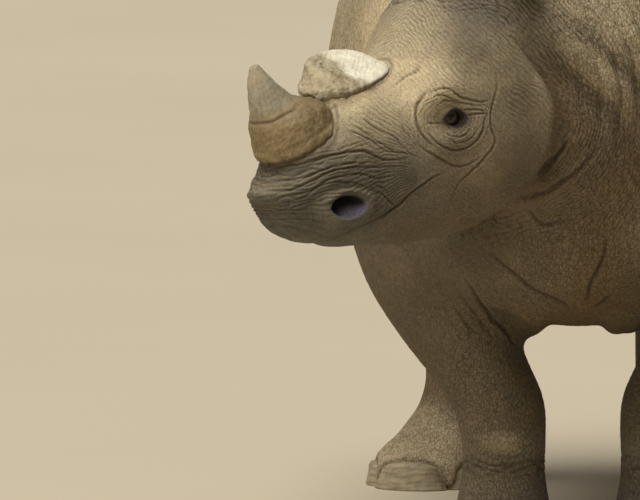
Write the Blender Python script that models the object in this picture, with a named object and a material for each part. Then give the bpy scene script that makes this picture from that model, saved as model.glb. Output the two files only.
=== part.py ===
"""A black rhinoceros, an adult cow, life size, standing square with her head turned to her right.

Metres, +Z up. She faces -Y and her left side is +X. Her soles are at z = 0, and the origin ends up on the
floor under the middle of her overall box. Until then, x = 0 is her midline and y = 0 is between her forefeet.
The flesh is lofted from sections, made one surface, then parted by thin cuts into head, neck, trunk, legs
and tail.
"""

import math

import bmesh
import bpy
import numpy as np
from mathutils import Matrix, Vector

# Driving dimensions, in metres and degrees
WITHERS = 1.43  # top of the shoulders
BACK_DIP = 1.355  # lowest point of the back
CROUP = 1.405  # top of the hips
RIB_HALF = 0.466  # half the width of the barrel
FORE_Y = 0.0  # the forefeet stand under the shoulders
HIND_Y = 1.50  # and the hind feet this far behind them
FORE_X = {"left": 0.152, "right": 0.140}  # forelegs, from the midline, at the cannon
HIND_X = {"left": 0.242, "right": 0.205}
HEAD_AT = Vector((-0.561, -0.75, 0.681))  # front of the muzzle, at the level of the mouth
HEAD_TURN = 48.0  # from straight ahead towards her right
HEAD_DIP = 10.4  # the mouth line falls this much towards the lips
HEAD_ROLL = 2.9
EYE_AT = (0.349, 0.134, 0.164)  # behind the muzzle's front, to the side, and up
EYE_RADIUS = 0.024
NOSTRIL_AT = (0.118, 0.086, 0.060)
NOSTRIL = (0.030, 0.027, 0.017)  # radii to the side, back and up
NOSTRIL_TILT = -12
EAR_AT = (0.562, 0.108, 0.338)
EAR_LONG = 0.225
EAR_WALL = 0.008
EAR_TURN = (20, 6, 35)  # leans outwards, leans back, and its cup turns outwards
FRONT_HORN_AT = (0.100, 0.178)  # behind the muzzle's front, and up
FRONT_HORN_TILT = 17  # forwards from the head's own upright
REAR_HORN_AT = (0.247, 0.249)
REAR_HORN_TILT = 9
FORE_SPLAY = 4  # the feet turn out this much
HIND_SPLAY = 20
HOOF_DEPTH = 0.022
HOOF_SET = 0.012  # how far a hoof's middle lies inside the foot's outline
HOOF_BEND = 3.6  # a hoof curves round the foot, this much back for each square metre across
GAP = 0.0006  # between neighbouring pieces
VOXEL = 0.009
FLESH_TRIANGLES = 4050
PLAIN_SHARE = 0.1  # how readily the head gives up triangles, where the rest has 1

SKIN = (0.235, 0.215, 0.180, 1.0)
HORN = (0.330, 0.260, 0.175, 1.0)
HOOF = (0.300, 0.270, 0.225, 1.0)
EYE = (0.012, 0.009, 0.008, 1.0)
SIDES = (("left", 1.0), ("right", -1.0))

# Trunk sections: y, level of the widest point, half width, top, bottom
TRUNK = (
    (-0.350, 0.780, 0.060, 0.850, 0.700),
    (-0.320, 0.770, 0.140, 0.920, 0.610),
    (-0.240, 0.790, 0.225, 1.060, 0.530),
    (-0.120, 0.830, 0.285, 1.270, 0.490),
    (0.020, 0.860, 0.325, WITHERS - 0.02, 0.478),
    (0.200, 0.870, 0.370, WITHERS, 0.468),
    (0.450, 0.870, 0.425, 1.390, 0.458),
    (0.780, 0.870, RIB_HALF, BACK_DIP, 0.450),
    (1.050, 0.880, 0.435, 1.380, 0.478),
    (1.270, 0.920, 0.395, CROUP, 0.560),
    (1.440, 0.960, 0.345, 1.385, 0.660),
    (1.580, 0.980, 0.270, 1.310, 0.730),
    (1.680, 0.980, 0.180, 1.200, 0.800),
    (1.730, 0.980, 0.080, 1.080, 0.890),
)
# Neck sections: place along, x, y, z, turn, half width, rise, fall
NECK = (
    (0.00, 0.000, 0.100, 1.000, 0.0, 0.290, 0.390, 0.460),
    (0.18, -0.008, -0.100, 0.975, 8.0, 0.262, 0.365, 0.400),
    (0.33, -0.045, -0.250, 0.950, 22.0, 0.220, 0.300, 0.290),
    (0.46, -0.110, -0.355, 0.925, 38.0, 0.178, 0.235, 0.210),
    (0.58, -0.180, -0.440, 0.905, 48.0, 0.145, 0.170, 0.150),
)
# Muscles of one side of the trunk, as balls: middle, then radii
MUSCLES = (
    ((0.225, 0.090, 0.960), (0.125, 0.220, 0.320)),  # shoulder
    ((0.245, 1.350, 0.960), (0.140, 0.250, 0.270)),  # haunch
    ((0.150, -0.150, 0.690), (0.150, 0.140, 0.170)),  # brisket
)
# Head sections: distance behind the muzzle's front, level of the widest point, half width, top, bottom
HEAD = (
    (-0.002, 0.104, 0.018, 0.113, 0.092),
    (0.010, 0.096, 0.046, 0.121, 0.062),
    (0.028, 0.082, 0.069, 0.136, 0.032),
    (0.060, 0.072, 0.085, 0.170, 0.008),
    (0.110, 0.068, 0.094, 0.196, -0.008),
    (0.160, 0.070, 0.093, 0.220, -0.020),
    (0.215, 0.078, 0.095, 0.242, -0.036),
    (0.270, 0.092, 0.107, 0.257, -0.050),
    (0.325, 0.105, 0.127, 0.268, -0.058),
    (0.380, 0.115, 0.148, 0.312, -0.064),
    (0.435, 0.120, 0.161, 0.368, -0.062),
    (0.500, 0.125, 0.164, 0.408, -0.050),
    (0.560, 0.130, 0.156, 0.420, -0.020),
    (0.620, 0.140, 0.138, 0.390, 0.026),
    (0.680, 0.150, 0.110, 0.320, 0.078),
)
# Forms of one side of the head, as balls: back, side, up, then radii to the side, back and up, then tilt
FACE_FORMS = (
    (0.350, 0.108, 0.212, (0.034, 0.062, 0.034), 12),  # brow
    (0.355, 0.112, 0.128, (0.034, 0.060, 0.036), 6),  # cheekbone
    (0.460, 0.100, 0.095, (0.068, 0.122, 0.135), 0),  # jaw muscle
    (0.105, 0.072, 0.060, (0.030, 0.050, 0.042), 0),  # rim of the nostril
    (0.562, 0.088, 0.312, (0.052, 0.056, 0.052), 0),  # foot of the ear
)
MIDDLE_FORMS = (
    (0.006, 0.0, 0.102, (0.034, 0.018, 0.013), 0),  # point of the upper lip
    (0.170, 0.0, -0.006, (0.056, 0.075, 0.026), -8),  # chin
)
# Hollows pressed into the face: back, up, reach back, reach up, depth
FACE_HOLLOWS = (
    (NOSTRIL_AT[0], NOSTRIL_AT[2], 0.024, 0.018, 0.008),
    (EYE_AT[0], EYE_AT[2], 0.026, 0.020, 0.011),
)
EYE_POUCH = (0.047, 0.010, 0.003)  # the ring of skin round the eye: radius, reach and height
MOUTH = (0.008, 0.13, 0.009, 0.006)  # level at the lips, rise for each metre back, reach and depth
MOUTH_FROM, MOUTH_TO = 0.02, 0.30  # along the head
JAW_RIM = (0.40, 0.13, 0.150, 0.165)  # middle and radii of the oval that bounds the jaw muscle
JAW_TRENCH = (1.17, 0.13, 0.020)  # the furrow behind it: place and reach in those radii, and depth
# Foreleg sections: z, outwards from FORE_X, back from FORE_Y, half width, half depth
FORELEG = (
    (0.000, 0.004, -0.025, 0.110, 0.120),
    (0.045, 0.003, -0.022, 0.109, 0.118),
    (0.090, 0.000, -0.012, 0.101, 0.106),
    (0.150, 0.000, 0.004, 0.089, 0.092),
    (0.215, -0.001, 0.010, 0.079, 0.083),
    (0.290, -0.002, 0.004, 0.082, 0.088),
    (0.350, 0.012, -0.002, 0.093, 0.102),
    (0.420, 0.059, 0.004, 0.105, 0.118),
    (0.520, 0.103, 0.016, 0.131, 0.148),
    (0.640, 0.125, 0.026, 0.158, 0.178),
    (0.780, 0.120, 0.036, 0.160, 0.204),
    (0.940, 0.080, 0.046, 0.145, 0.200),
)
HINDLEG = (
    (0.000, 0.054, -0.022, 0.112, 0.120),
    (0.045, 0.051, -0.020, 0.110, 0.118),
    (0.090, 0.032, -0.006, 0.098, 0.102),
    (0.140, 0.004, 0.014, 0.077, 0.086),
    (0.210, -0.012, 0.030, 0.066, 0.076),
    (0.310, -0.004, 0.044, 0.075, 0.082),
    (0.410, 0.004, 0.046, 0.086, 0.108),
    (0.500, 0.014, 0.010, 0.102, 0.134),
    (0.620, 0.030, -0.060, 0.128, 0.182),
    (0.760, 0.030, -0.110, 0.150, 0.236),
    (0.920, 0.010, -0.120, 0.158, 0.264),
    (1.080, -0.035, -0.130, 0.140, 0.250),
)
# Tail: place down its length from 0 to 1, y, z, half width, half depth
TAIL = (
    (0.00, 1.600, 1.270, 0.060, 0.045),
    (0.12, 1.690, 1.225, 0.048, 0.036),
    (0.24, 1.762, 1.140, 0.036, 0.028),
    (0.45, 1.796, 1.000, 0.027, 0.021),
    (0.70, 1.800, 0.830, 0.020, 0.016),
    (0.86, 1.798, 0.720, 0.021, 0.014),
    (1.00, 1.796, 0.620, 0.010, 0.008),
)


def material(name, colour, roughness):
    made = bpy.data.materials.new(name)
    made.use_nodes = True
    shader = made.node_tree.nodes["Principled BSDF"]
    shader.inputs["Base Color"].default_value = colour
    shader.inputs["Roughness"].default_value = roughness
    shader.inputs["Metallic"].default_value = 0.0
    made.diffuse_color = colour
    return made


def head_matrix():
    """The head's frame: its +Y runs back from the muzzle, +X to the animal's left, +Z up."""
    turn = Matrix.Rotation(math.radians(-HEAD_TURN), 4, "Z")
    dip = Matrix.Rotation(math.radians(HEAD_DIP), 4, "X")
    roll = Matrix.Rotation(math.radians(-HEAD_ROLL), 4, "Y")
    return Matrix.Translation(HEAD_AT) @ turn @ dip @ roll


HEAD_FRAME = head_matrix()


def in_head(back, side, up):
    """A place in the world from one given in the head's own terms."""
    return HEAD_FRAME @ Vector((side, back, up))


def near(values, centre, reach):
    return np.exp(-(((values - centre) / reach) ** 2))


def read_between(rows, steps):
    """Rows along a smooth curve through the given rows, whose first column is the place along it."""
    rows = np.array(rows, float)
    place = rows[:, 0]
    slope = np.gradient(rows, place, axis=0)
    spans = [np.linspace(a, b, steps, endpoint=False) for a, b in zip(place, place[1:])]
    wanted = np.append(np.concatenate(spans), place[-1])
    before = np.clip(np.searchsorted(place, wanted, "right") - 1, 0, len(place) - 2)
    span = (place[before + 1] - place[before])[:, None]
    t = (wanted - place[before])[:, None] / span
    start, end = rows[before], rows[before + 1]
    leave, arrive = slope[before] * span, slope[before + 1] * span
    near = (2 * t**3 - 3 * t**2 + 1) * start + (t**3 - 2 * t**2 + t) * leave
    return near + (3 * t**2 - 2 * t**3) * end + (t**3 - t**2) * arrive


def section(centre, side, rise, half, up, down, square_up=2.2, square_down=2.2, points=36):
    """A ring of points on a superellipse, up high above its centre and down deep below it."""
    turn = np.linspace(0, 2 * math.pi, points, endpoint=False)
    across, along = np.cos(turn), np.sin(turn)
    power = 2 / np.where(along > 0, square_up, square_down)
    x = half * np.sign(across) * np.abs(across) ** power
    z = np.where(along > 0, up, down) * np.sign(along) * np.abs(along) ** power
    return np.array(centre) + np.outer(x, side) + np.outer(z, rise)


def loft(mesh, rings):
    """Skins a row of rings into one closed tube in the mesh."""
    rows = [[mesh.verts.new(point) for point in ring] for ring in rings]
    count = len(rows[0])
    faces = [mesh.faces.new(rows[0]), mesh.faces.new(rows[-1][::-1])]
    for one, other in zip(rows, rows[1:]):
        for i in range(count):
            j = (i + 1) % count
            faces.append(mesh.faces.new((one[j], one[i], other[i], other[j])))
    bmesh.ops.recalc_face_normals(mesh, faces=faces)


def ball(mesh, centre, radii, turn=None, fine=3):
    """An ellipsoid of three radii, turned by a rotation matrix."""
    place = Matrix.Translation(centre) @ (turn or Matrix()) @ Matrix.Diagonal((*radii, 1))
    bmesh.ops.create_icosphere(mesh, subdivisions=fine, radius=1.0, matrix=place)


def head_ball(mesh, back, side, up, radii, tilt=0.0, fine=3):
    """An ellipsoid in the head's terms, with radii to the side, back and up, tilted about the side axis."""
    turn = HEAD_FRAME.to_3x3().to_4x4() @ Matrix.Rotation(math.radians(tilt), 4, "X")
    ball(mesh, in_head(back, side, up), radii, turn, fine)


def add_trunk(mesh):
    side, rise = (1, 0, 0), (0, 0, 1)
    rings = []
    for y, level, half, top, bottom in read_between(TRUNK, 4):
        rings.append(section((0, y, level), side, rise, half, top - level, level - bottom, 2.0, 2.3))
    loft(mesh, rings)
    for _, sign in SIDES:
        for (x, y, z), radii in MUSCLES:
            ball(mesh, (sign * x, y, z), radii)


def add_neck(mesh):
    rings = []
    for _, x, y, z, turn, half, up, down in read_between(NECK, 5):
        angle = math.radians(turn)
        side = (math.cos(angle), -math.sin(angle), 0)
        rings.append(section((x, y, z), side, (0, 0, 1), half, up, down))
    loft(mesh, rings)


def add_head(mesh):
    axes = HEAD_FRAME.to_3x3()
    rings = []
    for back, level, half, top, bottom in read_between(HEAD, 4):
        blunt = 2.5 + 0.5 * near(back, 0.12, 0.10) - 0.45 * near(back, 0.62, 0.11)
        centre = in_head(back, 0, level)
        rings.append(section(centre, axes.col[0], axes.col[2], half, top - level, level - bottom, blunt, 2.3))
    loft(mesh, rings)
    for form in MIDDLE_FORMS:
        head_ball(mesh, *form)
    for _, sign in SIDES:
        for back, side, up, radii, tilt in FACE_FORMS:
            head_ball(mesh, back, sign * side, up, radii, tilt)


def add_leg(mesh, table, x, y, sign):
    rings = []
    for z, out, back, half, depth in read_between(table, 4):
        rings.append(section((sign * (x + out), y + back, z), (1, 0, 0), (0, -1, 0), half, depth, depth))
    loft(mesh, rings)


def add_tail(mesh):
    rows = read_between(TAIL, 5)
    rings = []
    for i, (_, y, z, half, depth) in enumerate(rows):
        before, after = rows[max(i - 1, 0)], rows[min(i + 1, len(rows) - 1)]
        along = Vector((0, after[1] - before[1], after[2] - before[2])).normalized()
        rise = Vector((1, 0, 0)).cross(along)
        rings.append(section((0, y, z), (1, 0, 0), rise, half, depth, depth, 2, 2, 20))
    loft(mesh, rings)


def object_of(name, mesh, look=None):
    data = bpy.data.meshes.new(name)
    mesh.to_mesh(data)
    mesh.free()
    made = bpy.data.objects.new(name, data)
    bpy.context.scene.collection.objects.link(made)
    if look:
        data.materials.append(look)
    return made


def settled(source, name):
    """A new object with the source's modifiers worked into its mesh, in place of the source."""
    bpy.context.view_layer.update()
    graph = bpy.context.evaluated_depsgraph_get()
    data = bpy.data.meshes.new_from_object(source.evaluated_get(graph))
    bpy.data.objects.remove(source)
    made = bpy.data.objects.new(name, data)
    bpy.context.scene.collection.objects.link(made)
    return made


def points_of(data):
    flat = np.empty(len(data.vertices) * 3, np.float32)
    data.vertices.foreach_get("co", flat)
    return flat.reshape(-1, 3).astype(float)


def head_terms(points):
    """Points as (side, back, up) in the head's frame."""
    inverse = np.array(HEAD_FRAME.inverted())
    return points @ inverse[:3, :3].T + inverse[:3, 3]


def weight_group(body, name, weights):
    group = body.vertex_groups.new(name=name)
    for level in np.unique(np.round(weights, 1)):
        if level > 0:
            members = np.flatnonzero(np.round(weights, 1) == level).tolist()
            group.add(members, float(level), "REPLACE")


def smooth(body, name, weights, repeat):
    weight_group(body, name, weights)
    modifier = body.modifiers.new(name, "SMOOTH")
    modifier.factor = 0.5
    modifier.iterations = repeat
    modifier.vertex_group = name


def flesh():
    """All the flesh as one surface: lofted, joined, and smoothed where one form runs into the next."""
    mesh = bmesh.new()
    add_trunk(mesh)
    add_neck(mesh)
    add_head(mesh)
    for name, sign in SIDES:
        add_leg(mesh, FORELEG, FORE_X[name], FORE_Y, sign)
        add_leg(mesh, HINDLEG, HIND_X[name], HIND_Y, sign)
    add_tail(mesh)
    body = object_of("body", mesh)
    remesh = body.modifiers.new("one surface", "REMESH")
    remesh.mode = "VOXEL"
    remesh.voxel_size = VOXEL
    body = settled(body, "body")
    points = points_of(body.data)
    side, back, up = head_terms(points).T
    head = (back < 0.50).astype(float)
    rear = np.clip((back - 0.50) / 0.10, 0, 1)
    low = np.clip((points[:, 2] - 0.10) / 0.15, 0, 1)
    tail = near(points[:, 1], 1.80, 0.06) * (np.abs(points[:, 0]) < 0.08)
    trunk = rear * low * (1 - tail)
    smooth(body, "flow", trunk, 60)
    smooth(body, "feet", (1 - head) * (1 - tail), 8)
    smooth(body, "face", head, 12)
    return settled(body, "body")


FACE_END = 0.50  # the hollows of the face all lie ahead of this
FLANK_FROM = 0.06  # off the midline, the hollows have their full depth


def carve_face(body):
    """Presses the nostrils, eye sockets and mouth line into the head."""
    points = points_of(body.data)
    side, back, up = head_terms(points).T
    flank = np.abs(side)
    inward = np.zeros(len(side))
    for at_back, at_up, reach_back, reach_up, depth in FACE_HOLLOWS:
        inward += depth * near(back, at_back, reach_back) * near(up, at_up, reach_up) * (back < FACE_END)
    radius, reach, height = EYE_POUCH
    from_eye = np.hypot((back - EYE_AT[0]) / 1.2, up - EYE_AT[2])
    inward -= height * near(from_eye, radius, reach) * (back < FACE_END)
    level, rise, reach, depth = MOUTH
    mouth_level = level + rise * np.clip(back - MOUTH_FROM, 0, None)
    inward += depth * near(up, mouth_level, reach) * (back > MOUTH_FROM) * (back < MOUTH_TO)
    middle_back, middle_up, long, tall = JAW_RIM
    rim = np.hypot((back - middle_back) / long, (up - middle_up) / tall)
    place, reach, depth = JAW_TRENCH
    within = (back > middle_back - 0.04) & (up > middle_up - 0.23)
    fade = np.clip((middle_up + 0.14 - up) / 0.10, 0, 1)
    inward += depth * near(rim, place, reach) * within * fade
    inward *= np.clip(flank / FLANK_FROM, 0, 1) ** 2
    side = side - np.sign(side) * inward
    frame = np.array(HEAD_FRAME)
    moved = np.stack([side, back, up], axis=1) @ frame[:3, :3].T + frame[:3, 3]
    moved[:, 2] = np.where(points[:, 2] < 0.004, 0.0, moved[:, 2])
    body.data.vertices.foreach_set("co", moved.astype(np.float32).ravel())
    body.data.update()


def thin_out(body):
    """Fewer triangles, with most of them kept for the head."""
    side, back, up = head_terms(points_of(body.data)).T
    on_head = (back < 0.52) & (np.abs(side) < 0.25)
    weight_group(body, "plain", np.where(on_head, PLAIN_SHARE, 1.0))
    collapse = body.modifiers.new("thin out", "DECIMATE")
    collapse.ratio = FLESH_TRIANGLES / (2 * len(body.data.polygons))
    collapse.vertex_group = "plain"
    collapse.vertex_group_factor = 0.015
    collapse.use_collapse_triangulate = True
    return settled(body, "body")


# ---------------------------------------------------------------- parting


def hide(cutter):
    cutter.hide_render = True
    cutter.display_type = "WIRE"
    return cutter


def prism(name, outline, along, lengths, place=Matrix()):
    """A block whose outline, in the two axes other than along, runs between two lengths."""
    mesh = bmesh.new()
    rows = []
    for length in lengths:
        points = [Vector(p[:along] + (length,) + p[along:]) for p in outline]
        rows.append([mesh.verts.new(place @ point) for point in points])
    count = len(outline)
    faces = [mesh.faces.new(rows[0]), mesh.faces.new(rows[1][::-1])]
    for i in range(count):
        j = (i + 1) % count
        faces.append(mesh.faces.new((rows[0][j], rows[0][i], rows[1][i], rows[1][j])))
    bmesh.ops.recalc_face_normals(mesh, faces=faces)
    return hide(object_of(name, mesh))


# Parting lines. Head, in its own terms: half width of its block, how far back on each side, and its bottom
HEAD_ENDS = (0.200, 0.640, 0.625, -0.095)
NECK_LINE = ((-1.60, 0.30), (-0.36, 0.62), (0.06, 1.60))  # y and z, from the throat up to the withers
TAIL_LINE = 1.742  # y
FORE_LINE = ((0.03, 0.445), (0.44, 0.84))  # out and up, from the armpit to the shoulder
FORE_ENDS = (-0.27, 0.28)  # y, front and rear
HIND_LINE = ((0.04, 0.62), (0.44, 0.98))
HIND_ENDS = (1.08, 2.0)
FAR = 1.6  # past the end of anything that is cut
BELOW = -0.1


def leg_zone(name, line, ends, sign, grow):
    (inner, low), (outer, high) = line
    inner, low, high = inner - grow, low + grow, high + grow
    outline = ((inner, BELOW), (inner, low), (outer, high), (FAR, high), (FAR, BELOW))
    return prism("zone_" + name, [(sign * x, z) for x, z in outline], 1, (ends[0] - grow, ends[1] + grow))


def zones(grow):
    """The blocks that hold the head, neck, tail and legs, each grown outwards by a hair to leave a gap."""
    found = {}
    half, left_end, right_end, bottom = HEAD_ENDS
    half += grow
    head = ((half, -FAR), (half, left_end + grow), (-half, right_end + grow), (-half, -FAR))
    found["head"] = prism("zone_head", head, 2, (bottom - grow, FAR), HEAD_FRAME)
    throat, nape, withers = NECK_LINE
    lower = [(y, z - grow) for y, z in (throat, nape)]
    found["neck"] = prism("zone_neck", [*lower, (withers[0] + grow, withers[1]), (-FAR, FAR)], 0, (-FAR, FAR))
    tail = ((TAIL_LINE - grow, 0.40), (2.20, 0.40), (2.20, FAR), (TAIL_LINE - grow, FAR))
    found["tail"] = prism("zone_tail", tail, 0, (-FAR, FAR))
    for name, sign in SIDES:
        found["foreleg_" + name] = leg_zone("foreleg_" + name, FORE_LINE, FORE_ENDS, sign, grow)
        found["hindleg_" + name] = leg_zone("hindleg_" + name, HIND_LINE, HIND_ENDS, sign, grow)
    return found


def boolean(target, cutter, operation):
    modifier = target.modifiers.new(operation.lower() + " " + cutter.name, "BOOLEAN")
    modifier.operation = operation
    modifier.object = cutter
    modifier.solver = "EXACT"


def part_flesh(body, look):
    """Parts the one surface into head, neck, tail, legs and trunk."""
    inside, outside = zones(0.0), zones(GAP)
    order = ("head", "neck", "tail", "foreleg_left", "foreleg_right", "hindleg_left", "hindleg_right")
    pieces = {}
    for name in order + ("trunk",):
        piece = bpy.data.objects.new(name, body.data.copy())
        bpy.context.scene.collection.objects.link(piece)
        piece.data.materials.clear()
        piece.data.materials.append(look)
        for earlier in order[: order.index(name) if name in order else len(order)]:
            boolean(piece, outside[earlier], "DIFFERENCE")
        if name in inside:
            boolean(piece, inside[name], "INTERSECT")
        pieces[name] = settled(piece, name)
    bpy.data.objects.remove(body)
    for cutter in (*inside.values(), *outside.values()):
        bpy.data.objects.remove(cutter)
    return pieces


# ---------------------------------------------------------------- horns, eyes, ears, hooves

# Horn sections: height over the skin, forward shift, half width, half depth, and how much higher the section
# is in front than behind, and on the right than on the left, for each metre
FRONT_HORN = (
    (-0.022, -0.002, 0.062, 0.066, 0.00, 0.00),
    (0.000, 0.000, 0.070, 0.075, 0.00, 0.00),
    (0.022, 0.000, 0.072, 0.077, 0.00, 0.00),
    (0.046, 0.002, 0.067, 0.071, 0.00, 0.00),
    (0.062, 0.010, 0.054, 0.056, 0.00, 0.00),
    (0.080, 0.017, 0.039, 0.041, 0.00, 0.00),
    (0.108, 0.022, 0.028, 0.030, 0.00, 0.00),
    (0.138, 0.022, 0.018, 0.019, 0.00, 0.00),
    (0.160, 0.019, 0.008, 0.008, 0.00, 0.00),
)
REAR_HORN = (
    (-0.022, 0.006, 0.052, 0.076, 0.00, 0.00),
    (-0.004, 0.009, 0.059, 0.086, 0.00, 0.00),
    (0.010, 0.009, 0.059, 0.085, 0.05, 0.16),
    (0.022, 0.008, 0.055, 0.078, 0.11, 0.33),
    (0.033, 0.006, 0.048, 0.068, 0.16, 0.51),
    (0.036, 0.006, 0.040, 0.058, 0.17, 0.58),
)


OVER_HORN = 0.04  # the skin is cleared this far above a horn


def horn_rings(table, back, up, tilt, grow):
    """The horn's sections, square to an axis tilted forwards from the head's own upright."""
    frame = HEAD_FRAME @ Matrix.Translation((0, back, up)) @ Matrix.Rotation(math.radians(tilt), 4, "X")
    axes = frame.to_3x3()
    rings = []
    for height, forward, half, depth, rise, lean in table:
        centre = frame @ Vector((0, -forward, height))
        half, depth = half + grow, depth + grow
        across = axes.col[0] - axes.col[2] * lean
        along = axes.col[1] - axes.col[2] * rise
        rings.append(section(centre, across, along, half, depth, depth, 2.2, 2.2, 18))
    return rings


def make_horn(name, table, back, up, tilt, look, head):
    for grow, made in ((0.0, name), (GAP, "socket_" + name)):
        mesh = bmesh.new()
        rings = horn_rings(table, back, up, tilt, grow)
        if grow:
            upright = np.array(HEAD_FRAME.to_3x3().col[2])
            rings[0] = rings[0] - upright * grow
            rings.append(rings[-1] + upright * OVER_HORN)
        loft(mesh, rings)
        piece = object_of(made, mesh, look)
        if grow:
            boolean(head, hide(piece), "DIFFERENCE")
    return bpy.data.objects[name]


def make_eye(name, sign, look, head):
    back, side, up = EYE_AT
    for grow, made in ((0.0, name), (GAP, "socket_" + name)):
        mesh = bmesh.new()
        radius = EYE_RADIUS + grow
        place = Matrix.Translation(in_head(back, sign * (side - EYE_RADIUS * 0.93), up))
        bmesh.ops.create_icosphere(mesh, subdivisions=2, radius=radius, matrix=place)
        piece = object_of(made, mesh, look)
        if grow:
            boolean(head, hide(piece), "DIFFERENCE")
    return bpy.data.objects[name]


# Ear sections, as shares of its length: height, half width, half depth
EAR = (
    (-0.12, 0.120, 0.125),
    (0.00, 0.142, 0.145),
    (0.14, 0.172, 0.165),
    (0.34, 0.218, 0.180),
    (0.58, 0.235, 0.170),
    (0.80, 0.180, 0.130),
    (0.93, 0.105, 0.080),
    (1.00, 0.035, 0.030),
)
EAR_HOLLOW = (0.16, 0.95)  # the cup's foot and its end near the tip


def ear_loft(name, frame, rows, grow):
    """A closed form through the rows of shares, grown by a hair where it cuts its own socket."""
    mesh = bmesh.new()
    rings = []
    for height, half, depth, forward in rows:
        centre = frame @ Vector((0, -forward * EAR_LONG, height * EAR_LONG))
        axes = frame.to_3x3()
        half, depth = half * EAR_LONG + grow, depth * EAR_LONG + grow
        rings.append(section(centre, axes.col[0], axes.col[1], half, depth, depth, 2, 2, 14))
    if grow:
        rings.insert(0, rings[0] - np.array(frame.to_3x3().col[2]) * grow)
    loft(mesh, rings)
    return object_of(name, mesh)


def make_ear(name, sign, look, head):
    back, side, up = EAR_AT
    outwards, backwards, cup_turn = (math.radians(angle) for angle in EAR_TURN)
    tilt = Matrix.Rotation(sign * outwards, 4, "Y") @ Matrix.Rotation(backwards, 4, "X")
    turn = Matrix.Rotation(sign * cup_turn, 4, "Z")
    frame = HEAD_FRAME @ Matrix.Translation((sign * side, back, up)) @ tilt @ turn
    rows = [(*row, 0.0) for row in EAR]
    ear = ear_loft(name, frame, rows, 0.0)
    ear.data.materials.append(look)
    boolean(head, hide(ear_loft("socket_" + name, frame, rows, GAP)), "DIFFERENCE")
    wall = EAR_WALL / EAR_LONG
    inner = [row for row in rows if EAR_HOLLOW[0] < row[0] < EAR_HOLLOW[1]]
    cup = [(h, half - wall, depth + wall, 2 * wall) for h, half, depth, _ in inner]
    foot = (EAR_HOLLOW[0], 0.5 * cup[0][1], 0.6 * cup[0][2], cup[0][3] + 0.4 * cup[0][2])
    end = (EAR_HOLLOW[1], 0.4 * cup[-1][1], 0.8 * cup[-1][2], cup[-1][3] + 0.3 * cup[-1][2])
    boolean(ear, hide(ear_loft("cup_" + name, frame, [foot, *cup, end], 0.0)), "DIFFERENCE")


def open_nostril(sign, head):
    """A slanting hole at the side of the muzzle."""
    back, side, up = NOSTRIL_AT
    mesh = bmesh.new()
    head_ball(mesh, back, sign * side, up, NOSTRIL, NOSTRIL_TILT, 2)
    boolean(head, hide(object_of("nostril_" + ("left" if sign > 0 else "right"), mesh)), "DIFFERENCE")


def hoof_mesh(name, width, height, depth, grow, place):
    """A nail: a rounded block, narrower at its top, that leans back with the foot."""
    mesh = bmesh.new()
    rings = []
    for share in (0.0, 0.5, 1.0):
        half = 0.5 * width * (1 - 0.22 * share) + grow
        thick = depth * (1 - 0.25 * share) + grow
        lean = 0.08 * height * share
        z = (height + grow) * share
        ring = section((0, lean, z), (1, 0, 0), (0, 1, 0), half, thick, thick, 2.6, 2.6, 12)
        ring[:, 1] += HOOF_BEND * ring[:, 0] ** 2
        rings.append(np.array([place @ Vector(p) for p in ring]))
    if grow:
        rings.insert(0, rings[0] - np.array((0, 0, 0.02)))
    loft(mesh, rings)
    return object_of(name, mesh)


# Hooves of a foot: name, turn from straight ahead in degrees outwards, width, height
HOOVES = (("middle", 0.0, 0.132, 0.054), ("inner", -66.0, 0.072, 0.046), ("outer", 66.0, 0.072, 0.046))


def make_hooves(leg_name, leg, centre, half, depth, splay, sign, look):
    for toe, turn, width, height in HOOVES:
        angle = math.radians(sign * (turn + splay))
        out = Vector((math.sin(angle), -math.cos(angle), 0))
        reach = 1 / math.hypot(out.x / half, out.y / depth)
        for grow, prefix in ((0.0, "hoof_"), (GAP, "bed_")):
            spot = centre + out * (reach - HOOF_SET)
            place = Matrix.Translation(spot) @ Matrix.Rotation(math.atan2(out.x, -out.y), 4, "Z")
            piece = hoof_mesh(prefix + leg_name + "_" + toe, width, height, HOOF_DEPTH, grow, place)
            if grow:
                boolean(leg, hide(piece), "DIFFERENCE")
            else:
                piece.data.materials.append(look)


def stand_on_origin():
    """Moves every object alike, so that the origin is under the middle of the overall box."""
    shown = [piece for piece in bpy.data.objects if not piece.hide_render]
    corners = np.concatenate([points_of(piece.data) for piece in shown])
    middle = 0.5 * (corners.min(axis=0) + corners.max(axis=0))
    for piece in bpy.data.objects:
        piece.location = (-middle[0], -middle[1], 0)


def main():
    for old in list(bpy.data.objects):
        bpy.data.objects.remove(old)
    skin = material("skin", SKIN, 0.8)
    horn = material("horn", HORN, 0.6)
    hoof = material("hoof", HOOF, 0.6)
    eye = material("eye", EYE, 0.15)
    body = flesh()
    carve_face(body)
    body = thin_out(body)
    pieces = part_flesh(body, skin)
    head = pieces["head"]
    make_horn("horn_front", FRONT_HORN, *FRONT_HORN_AT, FRONT_HORN_TILT, horn, head)
    rear_horn = make_horn("horn_rear", REAR_HORN, *REAR_HORN_AT, REAR_HORN_TILT, horn, head)
    boolean(rear_horn, bpy.data.objects["socket_horn_front"], "DIFFERENCE")
    for name, sign in SIDES:
        make_eye("eye_" + name, sign, eye, head)
        make_ear("ear_" + name, sign, skin, head)
        open_nostril(sign, head)
        front = Vector((sign * (FORE_X[name] + FORELEG[0][1]), FORE_Y + FORELEG[0][2], 0))
        fore, hind = pieces["foreleg_" + name], pieces["hindleg_" + name]
        make_hooves("fore_" + name, fore, front, *FORELEG[0][3:], FORE_SPLAY, sign, hoof)
        rear = Vector((sign * (HIND_X[name] + HINDLEG[0][1]), HIND_Y + HINDLEG[0][2], 0))
        make_hooves("hind_" + name, hind, rear, *HINDLEG[0][3:], HIND_SPLAY, sign, hoof)
    stand_on_origin()


main()
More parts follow.
